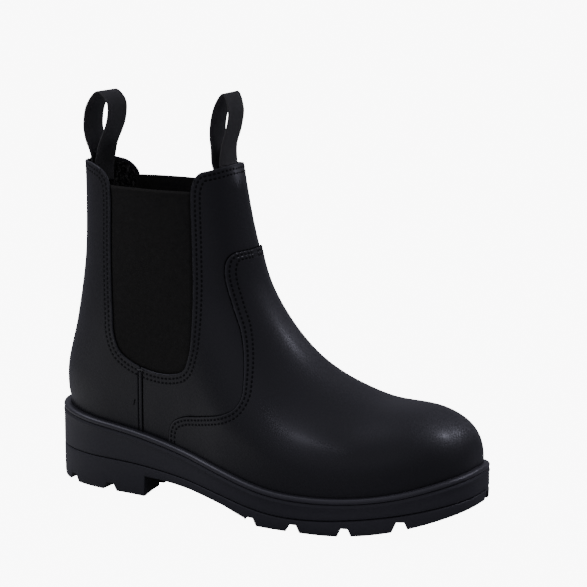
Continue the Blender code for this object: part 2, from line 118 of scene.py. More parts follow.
def through(xs, ys, x):
    """Smooth curve through table points."""
    slopes = np.gradient(ys, xs)
    x = np.clip(x, xs[0], xs[-1])
    i = np.clip(np.searchsorted(xs, x) - 1, 0, len(xs) - 2)
    step = xs[i + 1] - xs[i]
    t = (x - xs[i]) / step
    rise = (2 * t**3 - 3 * t**2 + 1) * ys[i] + (3 * t**2 - 2 * t**3) * ys[i + 1]
    bend = (t**3 - 2 * t**2 + t) * slopes[i] + (t**3 - t**2) * slopes[i + 1]
    return rise + bend * step


def look_up(rows, columns, name, x):
    table = np.array(rows)
    return through(table[:, 0], table[:, columns.index(name)], x)


def smooth_step(t):
    t = np.clip(t, 0.0, 1.0)
    return t * t * (3.0 - 2.0 * t)


def bead_top(x):
    return look_up(SOLE, SOLE_COLUMNS, "bead", x)


def seat(x):
    return bead_top(x) - BEAD_HEIGHT


def centre_line(x):
    return TOE_INFLARE * smooth_step((x - INFLARE_START) / INFLARE_RUN)


def half_width(x, side):
    return look_up(PLAN, PLAN_COLUMNS, "lateral" if side < 0 else "medial", x) - BEAD_WIDTH


def nose(x):
    return np.clip((x - (TOE_X - TOE_ROUND)) / TOE_ROUND, 0.0, 1.0)


def feather_y(x, side):
    """Foot outline where the upper meets the sole."""
    heel = np.clip((HEEL_ROUND - (x - HEEL_X)) / HEEL_ROUND, 0.0, 1.0)
    front = np.clip(1.0 - nose(x)**TOE_POWER, 0.0, 1.0)**(1.0 / TOE_POWER)
    rear = np.clip(1.0 - heel**HEEL_POWER, 0.0, 1.0)**(1.0 / HEEL_POWER)
    return centre_line(x) + side * half_width(x, side) * front * rear


def foot_stations(count):
    return HEEL_X + (TOE_X - HEEL_X) * (1.0 - np.cos(np.linspace(0.0, math.pi, count))) / 2.0


def feather_ring(x, grow):
    """Foot outline offset outward, along the outer side and back along the inner side."""
    xs = np.concatenate([x, x[::-1][1:-1]])
    ys = np.concatenate([feather_y(x, -1), feather_y(x, 1)[::-1][1:-1]])
    dx = np.roll(xs, -1) - np.roll(xs, 1)
    dy = np.roll(ys, -1) - np.roll(ys, 1)
    size = np.hypot(dx, dy)
    return xs + grow * dy / size, ys - grow * dx / size, xs


def foot_row(grow, height, stations, share=1.0):
    """One closed row round the foot; a share below 1 draws it in towards the centre line."""
    xs, ys, base = feather_ring(stations, grow)
    middle = centre_line(base)
    row = np.stack([base + share * (xs - base), middle + share * (ys - middle), height(base)], 1)
    return np.concatenate([row, row[:1]])


def fresh(add, **settings):
    """A new simple object, alone in the selection."""
    bpy.ops.object.select_all(action="DESELECT")
    add(**settings)
    return bpy.context.object


def sheet(name, rows):
    """A grid laid out as rows of points in millimetres, with meeting edges merged."""
    rows = np.asarray(rows)
    made = fresh(bpy.ops.mesh.primitive_grid_add, x_subdivisions=rows.shape[1] - 1,
                 y_subdivisions=rows.shape[0] - 1)
    made.name = name
    made.data.name = name
    places = ((rows - ORIGIN) * MM).astype(np.float32)
    made.data.vertices.foreach_set("co", places.ravel())
    bpy.ops.object.mode_set(mode="EDIT")
    bpy.ops.mesh.select_all(action="SELECT")
    bpy.ops.mesh.remove_doubles(threshold=MERGE_DISTANCE)
    bpy.ops.mesh.dissolve_degenerate(threshold=FLAT_FACE)
    bpy.ops.mesh.normals_make_consistent(inside=False)
    bpy.ops.object.mode_set(mode="OBJECT")
    bpy.ops.object.shade_smooth()
    return made


def modify(piece, name, kind, **settings):
    """Add one modifier and apply it at once."""
    bpy.context.view_layer.objects.active = piece
    modifier = piece.modifiers.new(name, kind)
    for key, value in settings.items():
        setattr(modifier, key, value)
    bpy.ops.object.modifier_apply(modifier=modifier.name)


def settle(piece, material, slot, *nodes):
    """Give a finished piece its material, its body and the solids it stands for; the slot is not used."""
    if len(piece.data.materials) == 0:
        piece.data.materials.append(material)
    piece.data.materials[0] = material
    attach(piece, "root")
    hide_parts(*nodes)


def finish(name, roughness, specular):
    """A new material with its Principled shader and a noise-ready coordinate node."""
    made = bpy.data.materials.new(name)
    made.use_nodes = True
    tree = made.node_tree
    shader = tree.nodes["Principled BSDF"]
    shader.inputs["Roughness"].default_value = roughness
    shader.inputs["Specular IOR Level"].default_value = specular
    place = tree.nodes.new("ShaderNodeTexCoord")
    return made, tree, shader, place.outputs["Object"]


def node(tree, kind, inputs=(), **settings):
    """Add a node; inputs are (socket, value or output to link)."""
    made = tree.nodes.new(kind)
    for key, value in settings.items():
        setattr(made, key, value)
    for socket, value in inputs:
        if isinstance(value, bpy.types.NodeSocket):
            tree.links.new(value, made.inputs[socket])
        else:
            made.inputs[socket].default_value = value
    return made


def maths(tree, operation, *values):
    """One sum among a material's nodes."""
    return node(tree, "ShaderNodeMath", enumerate(values), operation=operation).outputs[0]


def noise(tree, place, scale, detail, roughness=0.5):
    """Cloudy unevenness, its scale in patches to the metre."""
    inputs = [("Vector", place), ("Scale", scale), ("Detail", detail), ("Roughness", roughness)]
    return node(tree, "ShaderNodeTexNoise", inputs).outputs["Fac"]


def ramp(tree, value, start, end, first=0.0, last=1.0, kind="LINEAR"):
    """A value carried from one range to another and held at its ends."""
    inputs = [("Value", value), ("From Min", start), ("From Max", end), ("To Min", first), ("To Max", last)]
    return node(tree, "ShaderNodeMapRange", inputs, interpolation_type=kind).outputs["Result"]


def two_tones(tree, shader, mask, dark, light):
    """Base colour between two tones, by a mask; a tone may be another node's output."""
    tones = [tone if isinstance(tone, bpy.types.NodeSocket) else (*tone, 1.0) for tone in (dark, light)]
    mix = node(tree, "ShaderNodeMix", [("Factor", mask), ("A", tones[0]), ("B", tones[1])], data_type="RGBA")
    tree.links.new(mix.outputs["Result"], shader.inputs["Base Color"])
    return mix.outputs["Result"]


def relief(tree, shader, height, depth):
    """Bump from a height, its full depth given in metres."""
    bump = node(tree, "ShaderNodeBump", [("Height", height), ("Distance", depth)])
    tree.links.new(bump.outputs["Normal"], shader.inputs["Normal"])


INSOLE_THICKNESS = 3.0
FOOTBED_CLEARANCE = 0.4
FOOTBED_STATIONS = foot_stations(count=90)
# The dished top: share of the way out from the centre line, height above the board
FOOTBED_DISH = ((1.0, 1.0), (0.95, 0.6), (0.85, 0.1), (0.6, -0.2), (0.3, -0.3), (0.0, -0.3))


def footbed_row(share, height):
    return foot_row(-WALL - FOOTBED_CLEARANCE, lambda x: seat(x) + height, FOOTBED_STATIONS, share)


footbed_rows = [footbed_row(0.0, 0.0), footbed_row(1.0, 0.0)]
footbed_rows += [footbed_row(share, INSOLE_THICKNESS + cup) for share, cup in FOOTBED_DISH]
footbed = sheet("footbed", footbed_rows)

footbed_cloth, tree, shader, place = finish("footbed_cloth", roughness=0.9, specular=0.2)
threads = noise(tree, place, scale=900.0, detail=3.0)
two_tones(tree, shader, threads, dark=(0.006, 0.006, 0.006), light=(0.022, 0.022, 0.024))
relief(tree, shader, threads, depth=0.0004)
settle(footbed, footbed_cloth, "lining", "insole")

# Lining
# A dark napped textile glued inside the quarters and vamp; it shows inside the collar and down the shaft.
# It follows the lasted form, which is worked out here from the side-view lines of the boot.
SHAFT_HALF_WIDTH = 28.5
ANKLE_HALF_WIDTH = 32.6
ANKLE_HEIGHT = 95.0
SHAFT_ROUND = 57.0
SHAFT_POWER = 2.3
FOOT_BLEND_START = 18.0
FOOT_BLEND = 80.0
INNER_WINDOW_SHIFT = -10.5
SWING_FADE = 20.0
PROFILE_JOIN = 1.0
UPPER_TUCK = BEAD_HEIGHT - 1.0
TOE_STEPS = 500
TOE_HALVINGS = 30
# Guide line over toe, instep and front of the shaft
TOP = (
    (122.4, 207.4),
    (131.9, 160.6),
    (143.3, 126.6),
    (175.2, 88.7),
    (214.5, 71.1),
    (251.4, 74.5),
    (288.7, 78.8),
)
# Line up the back of the heel and shaft
BACK = (
    (4.0, 48.0),
    (2.2, 56.0),
    (2.3, 71.7),
    (10.6, 104.7),
    (16.5, 141.7),
    (17.3, 176.7),
    (16.8, 201.5),
)
# How deep the top line rounds over, and how square that rounding is
ROUND_COLUMNS = ("along", "depth", "power")
ROUND = (
    (118.0, 51.0, 2.3),
    (150.0, 52.0, 2.1),
    (180.0, 50.0, 2.1),
    (215.0, 46.0, 2.3),
    (250.0, 42.0, 2.6),
    (285.0, 40.0, 2.65),
)
# Side-view edge of the gusset opening: rear tab, rear edge, round bottom, front edge, front tab
OPENING = (
    (16.0, 204.0),
    (28.0, 202.6),
    (34.0, 201.3),
    (40.5, 199.2),
    (44.6, 195.8),
    (47.0, 192.4),
    (48.2, 187.0),
    (49.4, 150.0),
    (52.1, 113.4),
    (53.4, 98.0),
    (57.6, 88.6),
    (65.6, 83.1),
    (80.5, 78.9),
    (95.7, 78.9),
    (105.2, 82.6),
    (109.4, 94.0),
    (110.2, 108.0),
    (109.1, 137.5),
    (107.7, 155.4),
    (105.3, 188.0),
    (105.8, 193.6),
    (107.4, 198.2),
    (109.9, 201.2),
    (114.7, 202.7),
    (119.0, 204.0),
    (128.0, 207.6),
)
ABOVE_COLLAR = 225.0
FAR = 1e9
NEXT_TO_NOTHING = 1e-12


def run_along(line):
    """Distance from the start of a line of points to each of them."""
    return np.concatenate([[0.0], np.cumsum(np.linalg.norm(np.diff(line, axis=0), axis=1))])


def places_on(line, knots, at):
    """Places between the points of a line, whose knots are given."""
    return np.stack([np.interp(at, knots, column) for column in line.T], -1)


def side_curve(rows, count):
    """Even points along a smooth side-view line."""
    points = np.array(rows, dtype=float)
    reach = np.sqrt(np.linalg.norm(np.diff(points, axis=0), axis=1))
    knots = np.concatenate([[0.0], np.cumsum(reach)])
    fine = np.linspace(0.0, knots[-1], count * 4)
    line = np.stack([through(knots, column, fine) for column in points.T], 1)
    run = run_along(line)
    return places_on(line, run, np.linspace(0.0, run[-1], count))


TOP_LINE = side_curve(TOP, count=160)
BACK_LINE = side_curve(BACK, count=80)


def nearest(line, x, z):
    """Distance to a side-view line, and where along its points the nearest place is."""
    spot = np.stack([x.ravel(), z.ravel()], 1)
    best = np.full(len(spot), FAR)
    where = np.zeros(len(spot))
    for i in range(len(line) - 1):
        run = line[i + 1] - line[i]
        t = np.clip((spot - line[i]) @ run / (run @ run), 0.0, 1.0)
        gap = np.linalg.norm(spot - line[i] - t[:, None] * run, axis=1)
        closer = gap < best
        best = np.where(closer, gap, best)
        where = np.where(closer, i + t, where)
    return best.reshape(x.shape), where.reshape(x.shape)


def rounding_over(x, z):
    """How far the rounding under the top line has closed in: 0 below it, 1 on the line."""
    top_gap, i = nearest(TOP_LINE, x, z)
    top_x = np.interp(i, np.arange(len(TOP_LINE)), TOP_LINE[:, 0])
    depth = look_up(ROUND, ROUND_COLUMNS, "depth", top_x)
    power = look_up(ROUND, ROUND_COLUMNS, "power", top_x)
    return np.clip(1.0 - top_gap / depth, 0.0, 1.0)**power


def half_section(x, z, side):
    """Half width of the upper at a point of its side view."""
    back_gap, j = nearest(BACK_LINE, x, z)
    climb = smooth_step(j / (len(BACK_LINE) - 1.0))
    back_depth = HEEL_ROUND + (SHAFT_ROUND - HEEL_ROUND) * climb
    back_power = HEEL_POWER + (SHAFT_POWER - HEEL_POWER) * climb
    behind = np.clip(1.0 - back_gap / back_depth, 0.0, 1.0)**back_power
    front = np.clip(1.0 - rounding_over(x, z) - nose(x)**TOE_POWER, 0.0, 1.0)**(1.0 / TOE_POWER)
    rear = np.clip(1.0 - behind, 0.0, 1.0)**(1.0 / back_power)
    rise = smooth_step((z - bead_top(x) - FOOT_BLEND_START) / FOOT_BLEND)
    taper = smooth_step((z - ANKLE_HEIGHT) / (BACK[-1][1] - ANKLE_HEIGHT))
    shaft = ANKLE_HALF_WIDTH + (SHAFT_HALF_WIDTH - ANKLE_HALF_WIDTH) * taper
    return (half_width(x, side) * (1.0 - rise) + shaft * rise) * front * rear


def front_line():
    """Side profile from the toe's foot over the toe and instep to the collar."""
    order = np.argsort(TOP_LINE[:, 0])
    x = TOE_X - TOE_ROUND * np.linspace(0.0, 1.0, TOE_STEPS)[1:]**TOE_POWER
    low = bead_top(x)
    high = np.interp(x, TOP_LINE[order, 0], TOP_LINE[order, 1])
    for halving in range(TOE_HALVINGS):
        middle = (low + high) / 2.0
        below = rounding_over(x, middle) + nose(x)**TOE_POWER < 1.0
        low = np.where(below, middle, low)
        high = np.where(below, high, middle)
    toe = np.stack([x, low], 1)
    foot = [[TOE_X, float(bead_top(np.array([TOE_X]))[0])]]
    shaft = TOP_LINE[::-1]
    shaft = shaft[shaft[:, 0] < TOE_X - TOE_ROUND - PROFILE_JOIN]
    line = np.concatenate([foot, toe, shaft])
    run = run_along(line)
    return line, run / run[-1]


def upper_grid(levels, steps):
    """Rows round the lasted surface, from just behind the bead up to the collar, and their normals."""
    front, front_run = front_line()
    back_run = np.linspace(0.0, 1.0, len(BACK_LINE))
    crowded = (1.0 - np.cos(np.linspace(0.0, math.pi, steps))) / 2.0
    s, v = np.meshgrid(crowded, np.linspace(0.0, 1.0, levels))
    foot_x = HEEL_X + (TOE_X - HEEL_X) * s
    foot = np.stack([foot_x, bead_top(foot_x)], -1)
    collar = np.stack([BACK[-1][k] + (TOP[0][k] - BACK[-1][k]) * s for k in range(2)], -1)
    left = places_on(BACK_LINE, back_run, v)
    right = places_on(front, front_run, v)
    s = s[..., None]
    v = v[..., None]
    lower = (1 - s) * foot[0, 0] + s * foot[0, -1]
    higher = (1 - s) * collar[0, 0] + s * collar[0, -1]
    side_view = (1 - v) * (foot - lower) + v * (collar - higher) + (1 - s) * left + s * right
    x = side_view[..., 0]
    z = side_view[..., 1]
    halves = []
    for side in (-1, 1):
        width = half_section(x, z, side)
        width[:, 0] = 0.0
        width[:, -1] = 0.0
        halves.append(np.stack([x, centre_line(x) + side * width, z], -1))
    rings = np.concatenate([halves[0], halves[1][:, ::-1][:, 1:-1]], axis=1)
    rings[0, :, 1] = np.concatenate([feather_y(foot_x[0], -1), feather_y(foot_x[0], 1)[::-1][1:-1]])
    around = np.roll(rings, -1, axis=1) - np.roll(rings, 1, axis=1)
    normals = np.cross(around, np.gradient(rings, axis=0))
    normals /= np.linalg.norm(normals, axis=2, keepdims=True)
    tucked = rings[:1] - np.array([0.0, 0.0, UPPER_TUCK])
    return np.concatenate([tucked, rings]), np.concatenate([normals[:1], normals])


def swung(outline):
    """The opening of the inner side sits further back, fading out at the two seams."""
    points = np.array(outline)
    behind = smooth_step((points[:, 0] - BACK[-1][0]) / SWING_FADE)
    ahead = smooth_step((TOP[0][0] - points[:, 0]) / SWING_FADE * 2.0)
    points[:, 0] += INNER_WINDOW_SHIFT * behind * ahead
    return points


def signed_distance(outline, x, z):
    """Side-view distance to a closed outline, positive inside it."""
    gap = np.full(x.shape, FAR)
    inside = np.zeros(x.shape, dtype=bool)
    for (ax, az), (bx, bz) in zip(outline, np.roll(outline, -1, axis=0)):
        run = (bx - ax)**2 + (bz - az)**2
        along = (x - ax) * (bx - ax) + (z - az) * (bz - az)
        t = np.clip(along / max(run, NEXT_TO_NOTHING), 0.0, 1.0)
        gap = np.minimum(gap, np.hypot(x - ax - t * (bx - ax), z - az - t * (bz - az)))
        crosses = (az > z) != (bz > z)
        slope = (bx - ax) / np.where(bz == az, NEXT_TO_NOTHING, bz - az)
        inside ^= crosses & (x < ax + (z - az) * slope)
    return np.where(inside, gap, -gap)


OPENING_EDGE = side_curve(OPENING, count=240)
OPENING_EDGES = {-1: OPENING_EDGE, 1: swung(OPENING_EDGE)}
above = [(OPENING[-1][0], ABOVE_COLLAR), (OPENING[0][0], ABOVE_COLLAR)]
OPENING_OUTLINES = {side: np.concatenate([edge, above]) for side, edge in OPENING_EDGES.items()}


def on_inner_side(rings):
    """True in the columns of a grid that run along the inner side."""
    return np.broadcast_to(np.arange(rings.shape[1]) > rings.shape[1] // 2, rings.shape[:2])


def opening_distance(rings):
    """Distance into the gusset opening, by side."""
    sides = [signed_distance(OPENING_OUTLINES[side], rings[..., 0], rings[..., 2]) for side in (-1, 1)]
    return np.where(on_inner_side(rings), sides[1], sides[0])


def cut_panel(name, rings, normals, lift, inside, thickness, edge_round, measure=None, rim=0):
    """One piece cut from the lasted surface where a signed distance is positive, with rounded cut edges.

    Grid points next to the outline are drawn onto it, by half a cell at most, so the edge is smooth."""
    points = rings + normals * np.broadcast_to(lift, inside.shape)[..., None]
    drawn = points.copy()
    best = np.full(inside.shape, 0.5)
    on_line = np.zeros(inside.shape, dtype=bool)
    for axis, step in ((1, 1), (1, -1), (0, 1), (0, -1)):
        other = np.roll(inside, -step, axis)
        target = np.roll(points, -step, axis)
        crossing = inside * other < 0.0
        if axis == 0:
            crossing[-1 if step == 1 else 0] = False
        share = np.where(crossing, inside / np.where(crossing, inside - other, 1.0), 1.0)
        closer = share <= best
        drawn = np.where(closer[..., None], points + share[..., None] * (target - points), drawn)
        best = np.where(closer, share, best)
        on_line |= closer
    state = np.where(on_line, 0, np.sign(inside)).astype(int)
    index = np.arange(inside.size).reshape(inside.shape)
    corners = [index[:-1], np.roll(index, -1, 1)[:-1], np.roll(index, -1, 1)[1:], index[1:]]
    corners = np.stack([c.ravel() for c in corners], 1)
    marks = state.ravel()[corners]
    faces = corners[(marks.min(1) >= 0) & (marks.max(1) > 0)].tolist()
    for k in range(4):
        turned = np.roll(marks, -k, 1)
        half = (turned[:, 0] < 0) & (turned[:, 1] == 0) & (turned[:, 2] > 0) & (turned[:, 3] == 0)
        faces += np.roll(corners, -k, 1)[half][:, 1:].tolist()
    used = np.unique(np.concatenate([np.array(f) for f in faces]))
    number = np.zeros(inside.size, dtype=int)
    number[used] = np.arange(len(used))
    mesh = bpy.data.meshes.new(name)
    places = (drawn.reshape(-1, 3)[used] - ORIGIN) * MM
    mesh.from_pydata(places.tolist(), [], [[number[v] for v in face] for face in faces])
    edge = mesh.attributes.new("edge", "FLOAT", "POINT")
    distance = np.where(on_line, 0.0, inside) if measure is None else measure
    edge.data.foreach_set("value", distance.ravel()[used].astype(np.float32))
    piece = bpy.data.objects.new(name, mesh)
    bpy.context.scene.collection.objects.link(piece)
    for face_look in range(rim + 1):
        mesh.materials.append(None)
    bpy.ops.object.select_all(action="DESELECT")
    piece.select_set(True)
    modify(piece, "thickness", "SOLIDIFY", thickness=thickness * MM, offset=-1.0, use_even_offset=True,
           material_offset_rim=rim)
    modify(piece, "rounded_edge", "BEVEL", width=edge_round * MM, segments=3, limit_method="ANGLE",
           angle_limit=math.radians(50.0), use_clamp_overlap=False, material=rim if rim else -1)
    bpy.ops.object.shade_smooth()
    return piece


LEATHER_THICKNESS = 1.5
LINING_THICKNESS = 0.8
LINING_SETBACK = 2.2
LINING_EDGE = 0.25
GLUE_LINE = 0.05
coarse_rings, coarse_normals = upper_grid(levels=80, steps=130)
lining_inside = -LINING_SETBACK - opening_distance(coarse_rings)
lining = cut_panel("lining", coarse_rings, coarse_normals, -LEATHER_THICKNESS - GLUE_LINE, lining_inside,
                   LINING_THICKNESS, LINING_EDGE)

napped_lining, tree, shader, place = finish("napped_lining", roughness=0.95, specular=0.15)
nap = noise(tree, place, scale=560.0, detail=5.0, roughness=0.7)
tufts = ramp(tree, nap, start=0.50, end=0.66)
two_tones(tree, shader, tufts, dark=(0.009, 0.009, 0.008), light=(0.110, 0.108, 0.095))
relief(tree, shader, nap, depth=0.0008)
settle(lining, napped_lining, "lining", "upper")

# Gussets
# Ribbed woven elastic let into each side under the leather edge, with a turned hem along its top.
GUSSET_TOP = 190.0
GUSSET_INSET = 0.8
GUSSET_MARGIN = 3.0
GUSSET_THICKNESS = 0.9
GUSSET_EDGE = 0.3
LEATHER_DIP_START = 2.0
LEATHER_DIP_RUN = 3.0
HEM_RISE = 0.35
HEM_MIDDLE = 1.4
HEM_REACH = 1.1
OTHER_SIDE = -9.0
RIB_PITCH = 0.0007
PICK_PITCH = 0.0008
PICK_SHARE = 0.4
fine_rings, fine_normals = upper_grid(levels=130, steps=320)
fine_opening = opening_distance(fine_rings)
inner_columns = on_inner_side(fine_rings)


def waves(tree, place, pitch):
    """Even waves along one coordinate."""
    return maths(tree, "SINE", maths(tree, "MULTIPLY", place, 2.0 * math.pi / pitch))


elastic, tree, shader, place = finish("ribbed_elastic", roughness=0.9, specular=0.12)
axes = node(tree, "ShaderNodeSeparateXYZ", [("Vector", place)])
picks = waves(tree, axes.outputs["Z"], PICK_PITCH)
yarn = maths(tree, "MULTIPLY_ADD", picks, PICK_SHARE, waves(tree, axes.outputs["X"], RIB_PITCH))
fuzz = noise(tree, place, scale=320.0, detail=6.0, roughness=0.7)
hem_edge = node(tree, "ShaderNodeAttribute", attribute_name="edge").outputs["Fac"]
# Painted highlight: the elastic is coloured lighter in a band along its outline, seen along the top hem,
# where the hem would catch the light
hem_highlight = ramp(tree, hem_edge, start=0.9, end=1.5, first=2.4, last=0.0)
tone = maths(tree, "ADD", hem_highlight, fuzz)
two_tones(tree, shader, tone, dark=(0.0115, 0.0112, 0.0095), light=(0.0300, 0.0294, 0.0252))
relief(tree, shader, yarn, depth=0.00006)

for side, name, stands_for in ((-1, "elastic_outer", "gusset_outer"), (1, "elastic_inner", "gusset_inner")):
    on_side = inner_columns if side > 0 else ~inner_columns
    below_top = GUSSET_TOP - fine_rings[..., 2]
    inside = np.minimum(np.where(on_side, fine_opening, OTHER_SIDE) + GUSSET_MARGIN, below_top)
    hem = HEM_RISE * np.exp(-((below_top - HEM_MIDDLE) / HEM_REACH)**2)
    under = smooth_step((LEATHER_DIP_START - fine_opening) / LEATHER_DIP_RUN)
    gusset = cut_panel(name, fine_rings, fine_normals, -GUSSET_INSET - under + hem, inside,
                       GUSSET_THICKNESS, GUSSET_EDGE)
    settle(gusset, elastic, "elastic", stands_for)

# Quarters
# Two pieces of smooth matte black side leather: the back quarter wraps the heel and carries the rear tab,
# the front quarter runs under the vamp and carries the front tab. Both are sewn round the gusset opening.
SEAM_X = 73.0
SEAM_STRIP = 1.15
SEAM_GROOVE = 0.65
SEAM_TOP = 3.0
SEAM_TOP_FADE = 2.0
QUARTER_EDGE = 0.65
LAP_UNDER_VAMP = 12.0
STITCH_ROWS = (2.7, 5.5)
# Rear edge of the vamp, from the sole up to the front of the shaft
VAMP = (
    (95.6, 20.0),
    (95.4, 44.2),
    (98.4, 50.2),
    (105.6, 54.2),
    (122.0, 57.6),
    (139.4, 62.2),
    (146.3, 66.5),
    (149.0, 72.5),
    (147.9, 81.0),
    (144.8, 93.6),
    (139.5, 108.5),
    (133.6, 120.6),
    (127.8, 135.5),
    (126.2, 143.2),
    (126.6, 150.2),
    (129.4, 154.0),
    (140.0, 155.2),
)
AHEAD_OF_TOE = 330.0
UNDER_WELT = 5.0
VAMP_EDGE = side_curve(VAMP, count=220)
vamp_corners = [(AHEAD_OF_TOE, VAMP[-1][1]), (AHEAD_OF_TOE, UNDER_WELT), (VAMP[0][0], UNDER_WELT)]
VAMP_OUTLINE = np.concatenate([VAMP_EDGE, vamp_corners])
fine_vamp = signed_distance(VAMP_OUTLINE, fine_rings[..., 0], fine_rings[..., 2])


def shared_look(name, takes, gives):
    """A node group, with what it is given and what it hands out."""
    group = bpy.data.node_groups.new(name, "ShaderNodeTree")
    for way, sockets in (("INPUT", takes), ("OUTPUT", gives)):
        for socket in sockets:
            group.interface.new_socket(socket, in_out=way, socket_type="NodeSocketFloat")
    return group, group.nodes.new("NodeGroupInput").outputs, group.nodes.new("NodeGroupOutput").inputs


def leather_group():
    """Fine grain, cloudy tone and uneven sheen of finished side leather."""
    gives = ("Cloud", "Roughness", "Height")
    group, given, out = shared_look("leather_grain", ("Smoothest", "Dullest"), gives)
    place = group.nodes.new("ShaderNodeTexCoord").outputs["Object"]
    cloud = noise(group, place, scale=28.0, detail=5.0)
    pores = node(group, "ShaderNodeTexVoronoi", [("Vector", place), ("Scale", 1100.0)], feature="SMOOTH_F1")
    hair = noise(group, place, scale=2300.0, detail=3.0)
    wave = noise(group, place, scale=160.0, detail=3.0)
    grain = maths(group, "ADD", pores.outputs["Distance"], hair)
    swell = maths(group, "MULTIPLY_ADD", wave, WAVE_SHARE, grain)
    sheen = ramp(group, cloud, start=0.3, end=0.7, first=given["Smoothest"], last=given["Dullest"])
    group.links.new(cloud, out["Cloud"])
    group.links.new(sheen, out["Roughness"])
    group.links.new(swell, out["Height"])
    return group


def furrow_group():
    """Pressed lines where the sewing rows pull the leather in, by the distance from the piece's edge."""
    rows = ("First Row", "Second Row")
    group, given, out = shared_look("sewing_furrows", (*rows, "Half Width"), ("Depth",))
    edge = node(group, "ShaderNodeAttribute", attribute_name="edge").outputs["Fac"]
    lines = []
    for row in rows:
        off = maths(group, "ABSOLUTE", maths(group, "SUBTRACT", edge, given[row]))
        lines.append(ramp(group, off, 0.0, given["Half Width"], first=1.0, last=0.0, kind="SMOOTHSTEP"))
    group.links.new(maths(group, "ADD", *lines), out["Depth"])
    return group


def edge_highlight_group():
    """Painted highlight along cut edges, as if they caught the light, patchy and fading inwards, by the
    distance from the piece's edge.
    """
    group, given, out = shared_look("painted_edge_highlight", ("Amount",), ("Highlight",))
    place = group.nodes.new("ShaderNodeTexCoord").outputs["Object"]
    edge = node(group, "ShaderNodeAttribute", attribute_name="edge").outputs["Fac"]
    near = ramp(group, edge, start=0.5, end=1.5, first=1.0, last=0.0, kind="SMOOTHSTEP")
    patchy = maths(group, "MULTIPLY", near, noise(group, place, scale=120.0, detail=3.0))
    group.links.new(maths(group, "MULTIPLY", patchy, given["Amount"]), out["Highlight"])
    return group


WAVE_SHARE = 0.9
FURROW_HALF_WIDTH = 1.1
FURROW_SHARE = -1.6
LEATHER_GRAIN = leather_group()
SEWING_FURROWS = furrow_group()
PAINTED_EDGE_HIGHLIGHT = edge_highlight_group()
# Tone of the painted highlight along the leather's cut edges
LEATHER_EDGE_HIGHLIGHT = (0.060, 0.060, 0.062)
LEATHER_DARK = (0.0046, 0.0046, 0.0052)
LEATHER_LIGHT = (0.0070, 0.0070, 0.0078)


def leather(name, smoothest, dullest, rows, edge_highlight):
    """Side leather, by its range of roughness, its sewing rows and how strong the painted highlight along
    its cut edges is.
    """
    made, tree, shader, place = finish(name, roughness=0.5, specular=0.34)
    shader.inputs["Coat Weight"].default_value = 0.2
    shader.inputs["Coat Roughness"].default_value = 0.31
    sheen = [("Smoothest", smoothest), ("Dullest", dullest)]
    grain = node(tree, "ShaderNodeGroup", sheen, node_tree=LEATHER_GRAIN)
    tone = two_tones(tree, shader, grain.outputs["Cloud"], LEATHER_DARK, LEATHER_LIGHT)
    # Painted highlight: the leather is coloured lighter next to its cut edges, where they would catch the
    # light
    edge_shine = node(tree, "ShaderNodeGroup", [("Amount", edge_highlight)], node_tree=PAINTED_EDGE_HIGHLIGHT)
    two_tones(tree, shader, edge_shine.outputs["Highlight"], tone, LEATHER_EDGE_HIGHLIGHT)
    tree.links.new(grain.outputs["Roughness"], shader.inputs["Roughness"])
    lines = [("First Row", rows[0]), ("Second Row", rows[1]), ("Half Width", FURROW_HALF_WIDTH)]
    furrows = node(tree, "ShaderNodeGroup", lines, node_tree=SEWING_FURROWS)
    height = maths(tree, "MULTIPLY_ADD", furrows.outputs["Depth"], FURROW_SHARE, grain.outputs["Height"])
    relief(tree, shader, height, depth=0.00007)
    return made


quarter_leather = leather("quarter_leather", smoothest=0.48, dullest=0.58, rows=STITCH_ROWS, edge_highlight=0.6)
seam_here = SEAM_X + np.where(inner_columns, INNER_WINDOW_SHIFT, 0.0)
from_seam = fine_rings[..., 0] - seam_here
clear_of_opening = -fine_opening
seam_gap = (SEAM_STRIP + SEAM_GROOVE) * smooth_step((clear_of_opening - SEAM_TOP) / SEAM_TOP_FADE + 0.5)
back_inside = np.minimum(-from_seam - seam_gap, clear_of_opening)
front_inside = np.minimum(from_seam - seam_gap, clear_of_opening)
front_inside = np.minimum(front_inside, LAP_UNDER_VAMP - fine_vamp)
for name, inside in (("back_quarter", back_inside), ("front_quarter", front_inside)):
    quarter = cut_panel(name, fine_rings, fine_normals, 0.0, inside, LEATHER_THICKNESS, QUARTER_EDGE,
                        clear_of_opening)
    settle(quarter, quarter_leather, "leather", "upper")

# Side seams
# A narrow leather strip covers the joint of the two quarters below each gusset, a groove either side of it.
SURFACE_STEP = 0.08
STRIP_ROWS = 40
STRIP_COLUMNS = 9
STRIP_RISE = 0.25
STRIP_TUCK = 2.0
NO_SEWING = (90.0, 95.0)


def surface(x, z, side):
    """Points of the lasted surface and its outward normals at places of the side view."""
    def width(px, pz):
        return centre_line(px) + side * half_section(px, pz, side)
    y = width(x, z)
    slope_x = (width(x + SURFACE_STEP, z) - width(x - SURFACE_STEP, z)) / (2.0 * SURFACE_STEP)
    slope_z = (width(x, z + SURFACE_STEP) - width(x, z - SURFACE_STEP)) / (2.0 * SURFACE_STEP)
    normal = side * np.stack([-slope_x, np.ones_like(x), -slope_z], 1)
    return np.stack([x, y, z], 1), normal / np.linalg.norm(normal, axis=1, keepdims=True)


def seam_head(side):
    """Where a side seam meets the gusset opening: place along the foot and height."""
    seam_x = SEAM_X + (INNER_WINDOW_SHIFT if side > 0 else 0.0)
    edge = OPENING_EDGES[side]
    bottom = edge[edge[:, 1] < ANKLE_HEIGHT]
    return seam_x, np.interp(seam_x, bottom[:, 0], bottom[:, 1])


